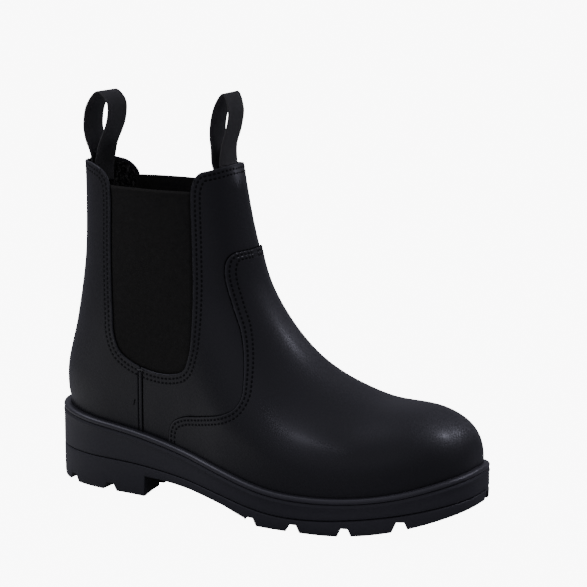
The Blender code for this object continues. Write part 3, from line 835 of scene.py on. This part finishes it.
strip_leather = leather("seam_strip_leather", smoothest=0.46, dullest=0.56, rows=NO_SEWING, edge_highlight=0.0)
strip_across = np.linspace(-1.0, 1.0, STRIP_COLUMNS)
for side, name in ((-1, "side_seam_outer"), (1, "side_seam_inner")):
    seam_x, seam_z = seam_head(side)
    strip_foot = float(bead_top(np.array([seam_x]))[0]) - STRIP_TUCK
    strip_rows = []
    for height in np.linspace(strip_foot, seam_z - SEAM_TOP, STRIP_ROWS):
        level = np.full(STRIP_COLUMNS, height)
        spots, normals = surface(seam_x + SEAM_STRIP * strip_across, level, side)
        strip_rows.append(spots + normals * STRIP_RISE * (1.0 - strip_across[:, None]**2))
    strip = sheet(name, strip_rows if side > 0 else strip_rows[::-1])
    modify(strip, "thickness", "SOLIDIFY", thickness=LEATHER_THICKNESS * MM, offset=-1.0)
    settle(strip, strip_leather, "leather", "upper")

# Vamp
# One large piece of the same leather over toe and instep, laid on the quarters and sewn down with two rows
# just inside its cut edge; its wings run back along the sole and its tongue ends square on the shaft.
VAMP_LIFT = 1.3
VAMP_ROWS = (2.4, 5.1)
VAMP_CUT_EDGE = 0.6
vamp_leather = leather("vamp_leather", smoothest=0.46, dullest=0.56, rows=VAMP_ROWS, edge_highlight=1.0)
# Soft forms left by the last and by flexing: place along, height, reach along and up, rise
SOFT_FORMS = (
    (188.0, 55.0, 18.0, 14.0, 0.4),
    (236.0, 46.0, 22.0, 14.0, 0.5),
)
vamp_lift = np.full(fine_vamp.shape, VAMP_LIFT)
for along, up, reach_along, reach_up, rise in SOFT_FORMS:
    off = ((fine_rings[..., 0] - along) / reach_along)**2 + ((fine_rings[..., 2] - up) / reach_up)**2
    vamp_lift += rise * np.exp(-off)
vamp = cut_panel("vamp_cover", fine_rings, fine_normals, vamp_lift, fine_vamp, VAMP_LIFT,
                 VAMP_CUT_EDGE, rim=1)
# The vamp's cut edge and its rounding in near-black matte: the dyed leather edge, and also painted shade for
# the dark line where the vamp laps the quarters
dyed_and_shaded_edge, tree, shader, place = finish("dyed_cut_edge_and_painted_shade", roughness=0.95, specular=0.08)
fibres = noise(tree, place, scale=900.0, detail=4.0)
two_tones(tree, shader, fibres, dark=(0.0018, 0.0018, 0.0018), light=(0.0040, 0.0040, 0.0040))
relief(tree, shader, fibres, depth=0.0002)
vamp.data.materials[1] = dyed_and_shaded_edge
settle(vamp, vamp_leather, "leather", "vamp")

# Stitching
# Bonded black thread in two rows round each gusset opening and along the vamp's edge.
STITCH_PITCH = 2.9
STITCH_LENGTH = 2.1
STITCH_WIDTH = 1.45
STITCH_HEIGHT = 0.5
STITCH_BLUNTNESS = 0.7
STITCH_SINK = 0.05
STITCH_STEP = 0.5
FIRST_ABOVE_BEAD = 0.5
LINE_POINTS = 6000
CROWDED_POINTS = 3000


def sewing_line(edge, offset, side, lift):
    """Stitch places, directions and normals along a line beside a cut edge.

    A line that ends close to the middle of the boot is carried on to it."""
    run = np.gradient(edge, axis=0)
    run /= np.linalg.norm(run, axis=1, keepdims=True)
    line = edge + offset * np.stack([run[:, 1], -run[:, 0]], 1)
    line = places_on(line, np.arange(len(line)), np.linspace(0.0, len(line) - 1.0, LINE_POINTS))
    front_x = np.interp(line[:, 1], TOP_LINE[::-1, 1], TOP_LINE[::-1, 0])
    back_x = np.interp(line[:, 1], BACK_LINE[:, 1], BACK_LINE[:, 0])
    above_bead = line[:, 1] > bead_top(line[:, 0]) + FIRST_ABOVE_BEAD
    line = line[(line[:, 0] < front_x) & (line[:, 0] > back_x) & above_bead]
    crowded = (len(line) - 1) * (1.0 - np.cos(np.linspace(0.0, math.pi, CROWDED_POINTS))) / 2.0
    line = places_on(line, np.arange(len(line)), crowded)
    spots, normals = surface(line[:, 0], line[:, 1], side)
    spots = spots + lift * normals
    for end in (0, -1):
        middle = spots[end] * (1.0, 0.0, 1.0) + (0.0, centre_line(spots[end, 0]), 0.0)
        if np.linalg.norm(middle - spots[end]) < STITCH_PITCH:
            before = 0 if end == 0 else len(spots)
            spots = np.insert(spots, before, middle, axis=0)
            normals = np.insert(normals, before, normals[end] * (1.0, 0.0, 1.0), axis=0)
    length = run_along(spots)
    count = round(length[-1] / STITCH_PITCH)
    at = (np.arange(count) + 0.5) * length[-1] / count
    along = places_on(spots, length, at + STITCH_STEP) - places_on(spots, length, at - STITCH_STEP)
    along /= np.linalg.norm(along, axis=1, keepdims=True)
    return places_on(spots, length, at), along, places_on(normals, length, at)


def stitch_piece(name, lines):
    """All stitches of a seam as one mesh, each a copy of one flattened bead of thread."""
    bead = fresh(bpy.ops.mesh.primitive_uv_sphere_add, segments=8, ring_count=6, radius=0.5)
    bead.name = name
    bpy.ops.object.mode_set(mode="EDIT")
    bpy.ops.mesh.select_all(action="SELECT")
    bpy.ops.transform.rotate(value=math.radians(90.0), orient_axis="Y", center_override=(0.0, 0.0, 0.0))
    bpy.ops.transform.resize(value=(STITCH_LENGTH, STITCH_WIDTH, STITCH_HEIGHT))
    bpy.ops.object.mode_set(mode="OBJECT")
    shape = np.array([v.co for v in bead.data.vertices])
    along_bead = np.abs(shape[:, 0] / STITCH_LENGTH * 2.0)**STITCH_BLUNTNESS
    shape[:, 0] = np.sign(shape[:, 0]) * along_bead * STITCH_LENGTH / 2.0
    loops = [list(p.vertices) for p in bead.data.polygons]
    points = []
    faces = []
    for place, along, normal in lines:
        across = np.cross(normal, along)
        for spot, a, c, n in zip(place, along, across, normal):
            base = len(points) * len(shape)
            points.append(spot + shape[:, :1] * a + shape[:, 1:2] * c + shape[:, 2:] * n)
            faces += [[base + k for k in loop] for loop in loops]
    mesh = bpy.data.meshes.new(name)
    mesh.from_pydata(((np.concatenate(points) - ORIGIN) * MM).tolist(), [], faces)
    bead.data = mesh
    bpy.ops.object.shade_smooth()
    return bead


def twisted(name, roughness, specular, twist, dark, light, depth):
    """Plied thread, its twist in turns to the metre."""
    made, tree, shader, place = finish(name, roughness, specular)
    inputs = [("Vector", place), ("Scale", twist), ("Distortion", 1.0)]
    ply = node(tree, "ShaderNodeTexWave", inputs, bands_direction="DIAGONAL").outputs["Fac"]
    two_tones(tree, shader, ply, dark, light)
    relief(tree, shader, ply, depth)
    return made


thread = twisted("black_thread", roughness=0.7, specular=0.2, twist=900.0, depth=0.00008,
                 dark=(0.0012, 0.0012, 0.0013), light=(0.0032, 0.0032, 0.0034))
for side, name in ((-1, "gusset_stitching_outer"), (1, "gusset_stitching_inner")):
    lines = [sewing_line(OPENING_EDGES[side], off, side, -STITCH_SINK) for off in STITCH_ROWS]
    settle(stitch_piece(name, lines), thread, "leather", "upper")
for side, name in ((-1, "vamp_stitching_outer"), (1, "vamp_stitching_inner")):
    lines = [sewing_line(VAMP_EDGE, off, side, VAMP_LIFT - STITCH_SINK) for off in VAMP_ROWS]
    settle(stitch_piece(name, lines), thread, "leather", "vamp")

# Tacks
# Shinier waxed thread: two short rows across the top of the vamp's tongue and a bar over each side seam;
# with them three dark thread beads beside the outer seam, painted shade standing for a small nick in the
# leather.
TONGUE_FOOT = 151.5
TONGUE_ROWS = (1.2, 3.8)
BAR_DROP = 1.9
BAR_STITCHES = np.array([-1.4, 0.0, 1.4])
BAR_RISE = 0.15
BAR_RUN = (1.0, 0.0, 0.0)
NICK = ((68.7, 58.9), (68.4, 57.6), (68.0, 56.3))
NICK_SINK = 0.15
NICK_RUN = (0.25, 0.0, 0.97)
waxed = twisted("waxed_thread", roughness=0.35, specular=0.5, twist=700.0, depth=0.00012,
                dark=(0.0160, 0.0160, 0.0160), light=(0.0560, 0.0560, 0.0540))


def short_row(name, x, z, side, lift, run, material):
    """A few stitches at given places of the side view, all lying the same way."""
    spots, normals = surface(x, z, side)
    along = np.tile(run, (len(spots), 1))
    settle(stitch_piece(name, [(spots + lift * normals, along, normals)]), material, "leather", "upper")


tongue_edge = VAMP_EDGE[VAMP_EDGE[:, 1] > TONGUE_FOOT]
for side, name in ((-1, "tongue_tack_outer"), (1, "tongue_tack_inner")):
    lines = [sewing_line(tongue_edge, off, side, VAMP_LIFT) for off in TONGUE_ROWS]
    settle(stitch_piece(name, lines), waxed, "leather", "vamp")
for side, name in ((-1, "seam_bar_outer"), (1, "seam_bar_inner")):
    seam_x, seam_z = seam_head(side)
    bar_z = np.full(len(BAR_STITCHES), seam_z - BAR_DROP)
    short_row(name, seam_x + BAR_STITCHES, bar_z, side, BAR_RISE, BAR_RUN, waxed)
# Painted shade: dark thread beads just proud of the leather stand for the shade inside a small nick; no cut
# is made
nick_x, nick_z = np.array(NICK).T
short_row("quarter_nick_painted_shade", nick_x, nick_z, -1, -NICK_SINK, NICK_RUN, thread)

# Pull loops
# Flat woven tape, folded double and sewn inside the rear and front tabs.
LOOP_WIDTH = 20.5
LOOP_THICKNESS = 1.2
LOOP_FLAT_START = 203.0
LOOP_FLAT_RUN = 14.0
BACK_LOOP_CURVE = 3.3
FRONT_LOOP_CURVE = -2.1
BACK_LOOP_TURN = 0.0
FRONT_LOOP_TURN = 5.0
BACK_LOOP = (
    (20.8, 187.0),
    (20.8, 202.0),
    (19.4, 214.0),
    (18.2, 223.0),
    (20.8, 235.8),
    (28.8, 244.2),
    (35.9, 238.2),
    (36.0, 228.0),
    (32.0, 217.3),
    (25.8, 207.0),
    (23.2, 198.0),
    (22.9, 187.0),
)
FRONT_LOOP = (
    (121.5, 190.0),
    (119.1, 203.5),
    (117.6, 215.5),
    (121.0, 227.0),
    (122.4, 238.0),
    (118.6, 247.6),
    (113.6, 241.9),
    (110.2, 231.5),
    (109.6, 219.5),
    (112.8, 207.0),
    (118.0, 195.0),
    (119.2, 190.0),
)
LOOP_STEPS = 150
LOOP_THREADS = 25

LOOP_EDGE = 0.5
WARP_PITCH = 1.0
WEFT_PITCH = 0.9
SELVEDGE_START = 1.2
SELVEDGE_END = 0.5

tape, tree, shader, place = finish("woven_tape", roughness=0.6, specular=0.42)
flat_tape = node(tree, "ShaderNodeUVMap", uv_map="tape").outputs["UV"]
axes = node(tree, "ShaderNodeSeparateXYZ", [("Vector", flat_tape)])
warp = waves(tree, axes.outputs["X"], WARP_PITCH)
weft = waves(tree, axes.outputs["Y"], WEFT_PITCH)
slub = noise(tree, place, scale=120.0, detail=4.0)
from_middle = maths(tree, "ABSOLUTE", axes.outputs["X"])
selvedge = ramp(tree, from_middle, LOOP_WIDTH / 2.0 - SELVEDGE_START, LOOP_WIDTH / 2.0 - SELVEDGE_END)
tone = maths(tree, "ADD", selvedge, slub)
two_tones(tree, shader, tone, dark=(0.0290, 0.0285, 0.0255), light=(0.0490, 0.0480, 0.0430))
relief(tree, shader, maths(tree, "MULTIPLY", warp, weft), depth=0.00010)

LOOPS = (
    ("pull_loop_back", BACK_LOOP, BACK_LOOP_CURVE, BACK_LOOP_TURN),
    ("pull_loop_front", FRONT_LOOP, FRONT_LOOP_CURVE, FRONT_LOOP_TURN),
)
for name, rows, curve, turn in LOOPS:
    path = side_curve(rows, LOOP_STEPS)
    u = np.linspace(-1.0, 1.0, LOOP_THREADS)
    flat = smooth_step((path[:, 1] - LOOP_FLAT_START) / LOOP_FLAT_RUN)[:, None]
    lean = np.radians(turn) * flat
    x = path[:, :1] + curve * (1.0 - flat) * u**2 - np.sin(lean) * u * LOOP_WIDTH / 2.0
    y = np.cos(lean) * u * LOOP_WIDTH / 2.0
    z = np.broadcast_to(path[:, 1:], x.shape)
    loop = sheet(name + "_tape", np.stack([x, y, z], -1))
    uv = loop.data.uv_layers.new(name="tape")
    corners = np.array([corner.vertex_index for corner in loop.data.loops])
    along = np.repeat(run_along(path), LOOP_THREADS)[corners]
    across = np.tile(u * LOOP_WIDTH / 2.0, LOOP_STEPS)[corners]
    uv.data.foreach_set("uv", np.stack([across, along], 1).astype(np.float32).ravel())
    modify(loop, "thickness", "SOLIDIFY", thickness=LOOP_THICKNESS * MM, offset=0.0, use_even_offset=True)
    modify(loop, "selvedge", "BEVEL", width=LOOP_EDGE * MM, segments=3, limit_method="ANGLE",
           angle_limit=math.radians(50.0), use_clamp_overlap=False)
    settle(loop, tape, "webbing", name)

# Welt
# A rolled rubber bead moulded round the foot of the upper, pressed against the leather all the way round.
SOLE_STATIONS = foot_stations(count=220)
WELT_SECTION = (
    (-0.2, 0.2),
    (-0.2, 4.45),
    (0.7, 4.7),
    (1.7, 4.85),
    (2.6, 4.9),
    (3.5, 4.75),
    (4.3, 4.3),
    (4.8, 3.6),
    (4.95, 2.9),
    (4.75, 2.25),
    (4.4, 1.8),
    (3.9, 1.55),
    (3.9, 0.2),
    (-0.2, 0.2),
)


def moulded_rubber(name, roughness, specular):
    """Moulded rubber, cloudy in tone and faintly gritty."""
    made, tree, shader, place = finish(name, roughness, specular)
    two_tones(tree, shader, noise(tree, place, scale=40.0, detail=5.0), RUBBER_DARK, RUBBER_LIGHT)
    relief(tree, shader, noise(tree, place, scale=1500.0, detail=2.0), depth=0.00005)
    return made


RUBBER_DARK = (0.0245, 0.0245, 0.0275)
RUBBER_LIGHT = (0.0335, 0.0335, 0.0370)
rubber = moulded_rubber("moulded_rubber", roughness=0.55, specular=0.35)
bead_rubber = moulded_rubber("bead_rubber", roughness=0.40, specular=0.5)


def section_rows(section, level, stations=SOLE_STATIONS):
    """Rows round the foot, one for each point of a section: offset outward, height over a level."""
    return [foot_row(grow, lambda x: level(x) + height, stations) for grow, height in section]


welt = sheet("welt_bead", section_rows(WELT_SECTION, seat))
settle(welt, bead_rubber, "rubber", "welt")

# Midsole
# A tall moulded wall under the bead, with a thin raised line near its top and a fine groove at its foot.
MIDSOLE_TOP = (
    (3.2, -0.3),
    (3.5, 1.2),
    (4.1, 1.45),
    (4.45, 1.3),
    (4.5, 1.0),
    (4.62, 0.75),
    (4.9, 0.3),
    (5.05, -0.1),
    (5.05, -0.5),
    (4.9, -0.85),
    (4.75, -1.1),
    (4.75, -4.5),
)
MIDSOLE_FOOT = (
    (4.8, 3.0),
    (4.8, 1.0),
    (4.6, 0.5),
    (4.1, 0.2),
    (3.6, 0.12),
)


def groove_line(x):
    return look_up(SOLE, SOLE_COLUMNS, "groove", x)


def filled(point, level, shares, stations=SOLE_STATIONS):
    """Rows that close a moulding towards the centre line, level with a point of its section."""
    grow, height = point
    return [foot_row(grow, lambda x: level(x) + height, stations, share) for share in shares]


midsole_rows = filled(MIDSOLE_TOP[0], seat, (0.0, 0.5)) + section_rows(MIDSOLE_TOP, seat)
midsole_rows += section_rows(MIDSOLE_FOOT, groove_line) + filled(MIDSOLE_FOOT[-1], groove_line, (0.5, 0.0))
midsole = sheet("midsole_wall", midsole_rows)
settle(midsole, rubber, "rubber", "midsole")

# Outsole
# The moulded tread: a heel block with a hollowed front face and a forefoot with wide lugs, parted by
# drafted grooves that the mould leaves open at the sides, and a plain arch between them.
HEEL_BREAST_X = 78.2
BREAST_RUN = 1.0
FOREFOOT_X = 159.0
FOREFOOT_RUN = 1.2
TOE_SPRING = 16.5
SPRING_START = 205.0
LUG_DEPTH = 4.6
ARCH_COLUMNS = ("along", "underside")
ARCH = (
    (77.0, 13.0),
    (98.0, 12.4),
    (122.0, 10.6),
    (140.0, 8.3),
    (160.0, 3.2),
)
# Grooves across the tread: place at the edge, width at the floor, sweep towards the heel
CROSS_GROOVES = (
    (21.0, 9.0, 0.0),
    (52.2, 9.8, 0.0),
    (162.4, 9.4, 8.0),
    (191.0, 9.0, 18.0),
    (221.8, 9.0, 29.0),
    (252.3, 9.8, 29.0),
)
# Grooves along the tread: offset from the centre line, start, end
RUN_GROOVES = (
    (-14.0, 164.0, 262.0),
    (8.0, 164.0, 300.0),
    (-11.0, 14.0, 95.0),
    (11.0, 14.0, 95.0),
)
RUN_GROOVE_WIDTH = 5.0
RUN_DEPTH = 3.8
RUN_STOPS = (205.0, 235.0, 262.0)
RUN_DRAFT = 0.2
RUN_OVERLAP = 1.0
GROOVE_DRAFT = 0.5
GROOVE_REACH = 95.0
GROOVE_OVERLAP = 4.0
FLOOR_DROP = -6.0
BREAST_RADIUS = 132.0
BREAST_HOLLOW = 5.0
HOLLOW_REACH = 12.0
ARCH_HEIGHT = 12.9
STATION_GAP = 0.9
TREAD_EDGE = 0.5
# Section of the tread's shoulder, under the groove at the foot of the wall
OUTSOLE_TOP = ((3.6, -0.12), (4.2, -0.3), (4.7, -0.7), (4.85, -1.2))
# The tread's side below that: offset outward, share of the way up from its underside
OUTSOLE_SIDE = ((4.8, 0.5), (4.7, 0.12), (4.4, 0.0))
OUTSOLE_FILL = (0.8, 0.5, 0.25, 0.0)


def ground(x):
    lift = np.clip((x - SPRING_START) / (TOE_X - SPRING_START), 0.0, 1.2)
    return TOE_SPRING * lift**2


def tread_bottom(x):
    under = look_up(ARCH, ARCH_COLUMNS, "underside", x)
    arched = (x > HEEL_BREAST_X + BREAST_RUN / 2.0) & (x < FOREFOOT_X + FOREFOOT_RUN / 2.0)
    return np.where(arched, under, ground(x))


def tread_side(x, share):
    under = tread_bottom(x)
    return under + share * (groove_line(x) + OUTSOLE_TOP[-1][1] - under)


risers = [HEEL_BREAST_X, HEEL_BREAST_X + BREAST_RUN, FOREFOOT_X, FOREFOOT_X + FOREFOOT_RUN]
tread_stations = SOLE_STATIONS[np.abs(SOLE_STATIONS[:, None] - np.array(risers)).min(1) > STATION_GAP]
tread_stations = np.sort(np.concatenate([tread_stations, risers]))
outsole_rows = filled(OUTSOLE_TOP[0], groove_line, (0.0, 0.5), tread_stations)
outsole_rows += section_rows(OUTSOLE_TOP, groove_line, tread_stations)
for grow, share in OUTSOLE_SIDE:
    outsole_rows.append(foot_row(grow, lambda x: tread_side(x, share), tread_stations))
outsole_rows += filled((OUTSOLE_SIDE[-1][0], 0.0), tread_bottom, OUTSOLE_FILL, tread_stations)
outsole = sheet("outsole_tread", outsole_rows)


def groove_cutter(points_low, points_high):
    """A tapering bar pushed through the tread: a box whose corners are laid on two rows of four places."""
    bar = fresh(bpy.ops.mesh.primitive_cube_add, size=2.0)
    for vertex in bar.data.vertices:
        row = points_low if vertex.co.z < 0 else points_high
        corner = row[(2 if vertex.co.y > 0 else 0) + (1 if vertex.co.x > 0 else 0)]
        vertex.co = (np.array(corner) - ORIGIN) * MM
    return bar


cutters = []
for middle, width, sweep in CROSS_GROOVES:
    low = float(ground(np.array([middle]))[0])
    spread = width / 2.0 - GROOVE_DRAFT * FLOOR_DROP
    narrow = width / 2.0 - GROOVE_DRAFT * LUG_DEPTH
    for side in (-1, 1):
        edge_y = float(feather_y(np.array([middle]), side)[0]) + side * BEAD_WIDTH
        ends = (side * GROOVE_REACH, float(centre_line(middle)) - side * GROOVE_OVERLAP)
        lean = [math.tan(math.radians(sweep)) * side * (edge_y - y) for y in ends]
        bars = [(middle - lean[k], ends[k], sx) for k in ((0, 1) if side < 0 else (1, 0)) for sx in (-1, 1)]
        lows = [(x + sx * spread, y, low + FLOOR_DROP) for x, y, sx in bars]
        highs = [(x + sx * narrow, y, low + LUG_DEPTH) for x, y, sx in bars]
        cutters.append(groove_cutter(lows, highs))
for offset, start, end in RUN_GROOVES:
    spread = RUN_GROOVE_WIDTH / 2.0 - GROOVE_DRAFT * FLOOR_DROP
    narrow = RUN_GROOVE_WIDTH / 2.0 - RUN_DRAFT * LUG_DEPTH
    stops = [start] + [x for x in RUN_STOPS if start < x < end] + [end]
    for first, last in zip(stops[:-1], stops[1:]):
        ends = (first - RUN_OVERLAP, last + RUN_OVERLAP)
        bars = [(x, float(centre_line(x)) + offset, sy, float(ground(np.array([x]))[0]))
                for sy in (-1, 1) for x in ends]
        lows = [(x, y + sy * spread, lift + FLOOR_DROP) for x, y, sy, lift in bars]
        highs = [(x, y + sy * narrow, lift + RUN_DEPTH) for x, y, sy, lift in bars]
        cutters.append(groove_cutter(lows, highs))
# The heel's front face is hollowed in plan
hollow = fresh(bpy.ops.mesh.primitive_cylinder_add, vertices=128, radius=BREAST_RADIUS * MM,
               depth=2.0 * ARCH_HEIGHT * MM)
bpy.ops.object.mode_set(mode="EDIT")
bpy.ops.mesh.select_all(action="SELECT")
breast_middle = Vector((BREAST_RADIUS + HEEL_BREAST_X - BREAST_HOLLOW, 0.0, 0.0))
bpy.ops.transform.translate(value=(breast_middle - Vector(ORIGIN)) * MM)
hollow_end = Vector((HEEL_BREAST_X + HOLLOW_REACH, 0.0, 0.0))
bpy.ops.mesh.bisect(plane_co=(hollow_end - Vector(ORIGIN)) * MM, plane_no=(1.0, 0.0, 0.0), use_fill=True,
                    clear_outer=True)
bpy.ops.object.mode_set(mode="OBJECT")
cutters.append(hollow)
for cutter in cutters:
    modify(outsole, "groove", "BOOLEAN", operation="DIFFERENCE", solver="EXACT", object=cutter)
    bpy.data.objects.remove(cutter, do_unlink=True)
bpy.ops.object.select_all(action="DESELECT")
outsole.select_set(True)
bpy.context.view_layer.objects.active = outsole
modify(outsole, "moulded_edges", "BEVEL", width=TREAD_EDGE * MM, segments=2, limit_method="ANGLE",
       angle_limit=math.radians(35.0))
bpy.ops.object.shade_smooth_by_angle(angle=math.radians(40.0))
settle(outsole, rubber, "rubber", "outsole")

# Floor and light
# A wide pale studio floor in a cool white room that is bright on the left and overhead, a soft box high
# on the left, and four narrow lamps that put the spots of shine on toe, instep, ball and front tab.
# The floor looks evenly white to the camera; a round patch of it off the heel glows as painted light on the
# boot.
FLOOR_WHITE = 9.0
FLOOR_POOL = (-0.34, -0.22, 0.0)
FLOOR_POOL_REACH = 0.38
FLOOR_POOL_GLOW = 0.75
floor = fresh(bpy.ops.mesh.primitive_plane_add, size=40.0)
floor.name = "studio_floor"
paper_and_glow, tree, shader, place = finish("pale_paper_and_glow", roughness=0.9, specular=0.1)
pulp = noise(tree, place, scale=3.0, detail=2.0)
two_tones(tree, shader, pulp, dark=(0.48, 0.48, 0.48), light=(0.52, 0.52, 0.52))
# Painted light: a round patch of floor off the heel on the outer side glows for every ray but the camera's,
# lighting the boot like a lamp
from_pool = node(tree, "ShaderNodeVectorMath", [(0, place), (1, FLOOR_POOL)], operation="DISTANCE")
pool = ramp(tree, from_pool.outputs["Value"], start=0.0, end=FLOOR_POOL_REACH,
            first=FLOOR_POOL_GLOW / FLOOR_WHITE, last=0.0, kind="SMOOTHSTEP")
rays = node(tree, "ShaderNodeLightPath")
glow = maths(tree, "MAXIMUM", rays.outputs["Is Camera Ray"], pool)
tree.links.new(glow, shader.inputs["Emission Color"])
shader.inputs["Emission Strength"].default_value = FLOOR_WHITE
floor.data.materials.append(paper_and_glow)

COOL_WHITE = (0.95, 0.94, 1.15)


def toward(turn, height):
    """Direction at a turn from straight ahead of the outer side and a height, both in degrees."""
    level = math.cos(math.radians(height))
    turn = math.radians(turn)
    return Vector((math.sin(turn) * level, -math.cos(turn) * level, math.sin(math.radians(height))))


# Bright parts of the room: turn, height, strength, how narrow
ROOM_PARTS = (
    (-135.0, 8.0, 0.25, 2.0),
    (-45.0, 8.0, 0.11, 2.0),
    (4.0, 12.0, 0.50, 8.0),
    (90.0, 8.0, 0.27, 2.0),
    (0.0, 90.0, 0.43, 2.0),
    (175.0, 0.0, 0.30, 30.0),
)
room = bpy.data.worlds.new("white_room")
bpy.context.scene.world = room
room.use_nodes = True
tree = room.node_tree
sky = node(tree, "ShaderNodeTexCoord").outputs["Generated"]
total = 0.0
for turn, height, strength, narrow in ROOM_PARTS:
    inputs = [(0, sky), (1, toward(turn, height))]
    facing = node(tree, "ShaderNodeVectorMath", inputs, operation="DOT_PRODUCT")
    fade = maths(tree, "POWER", maths(tree, "MAXIMUM", facing.outputs["Value"], 0.0), narrow)
    total = maths(tree, "MULTIPLY_ADD", fade, strength, total)
tree.links.new(total, tree.nodes["Background"].inputs["Strength"])
tree.nodes["Background"].inputs["Color"].default_value = (*COOL_WHITE, 1.0)

# Lamps: name, kind, spot lit, turn, height, distance, size, power, beam in degrees
LAMPS = (
    ("toe_lamp", "SPOT", (0.127, -0.012, 0.059), 122.0, 56.0, 1.2, 0.035, 27.0, 3.6),
    ("instep_lamp", "SPOT", (0.022, -0.010, 0.104), 148.0, 37.0, 1.2, 0.16, 25.0, 11.0),
    ("ball_lamp", "SPOT", (0.050, -0.0445, 0.055), -6.0, 44.0, 1.1, 0.016, 5.8, 2.3),
    ("tab_lamp", "SPOT", (-0.018, -0.003, 0.202), 142.0, 4.0, 1.2, 0.004, 3.2, 0.9),
    ("high_box", "AREA", (-0.060, -0.030, 0.045), -78.0, 54.0, 1.2, 0.40, 2.9, 180.0),
)
for name, kind, target, turn, height, distance, size, power, beam in LAMPS:
    reach = toward(turn, height)
    bpy.ops.object.light_add(type=kind, location=Vector(target) + distance * reach)
    lamp = bpy.context.object
    lamp.name = name
    lamp.rotation_euler = (-reach).to_track_quat("-Z", "Y").to_euler()
    lamp.data.color = COOL_WHITE
    lamp.data.energy = power
    if kind == "SPOT":
        lamp.data.spot_size = math.radians(beam)
        lamp.data.spot_blend = 1.0
        lamp.data.shadow_soft_size = size
    else:
        lamp.data.size = size
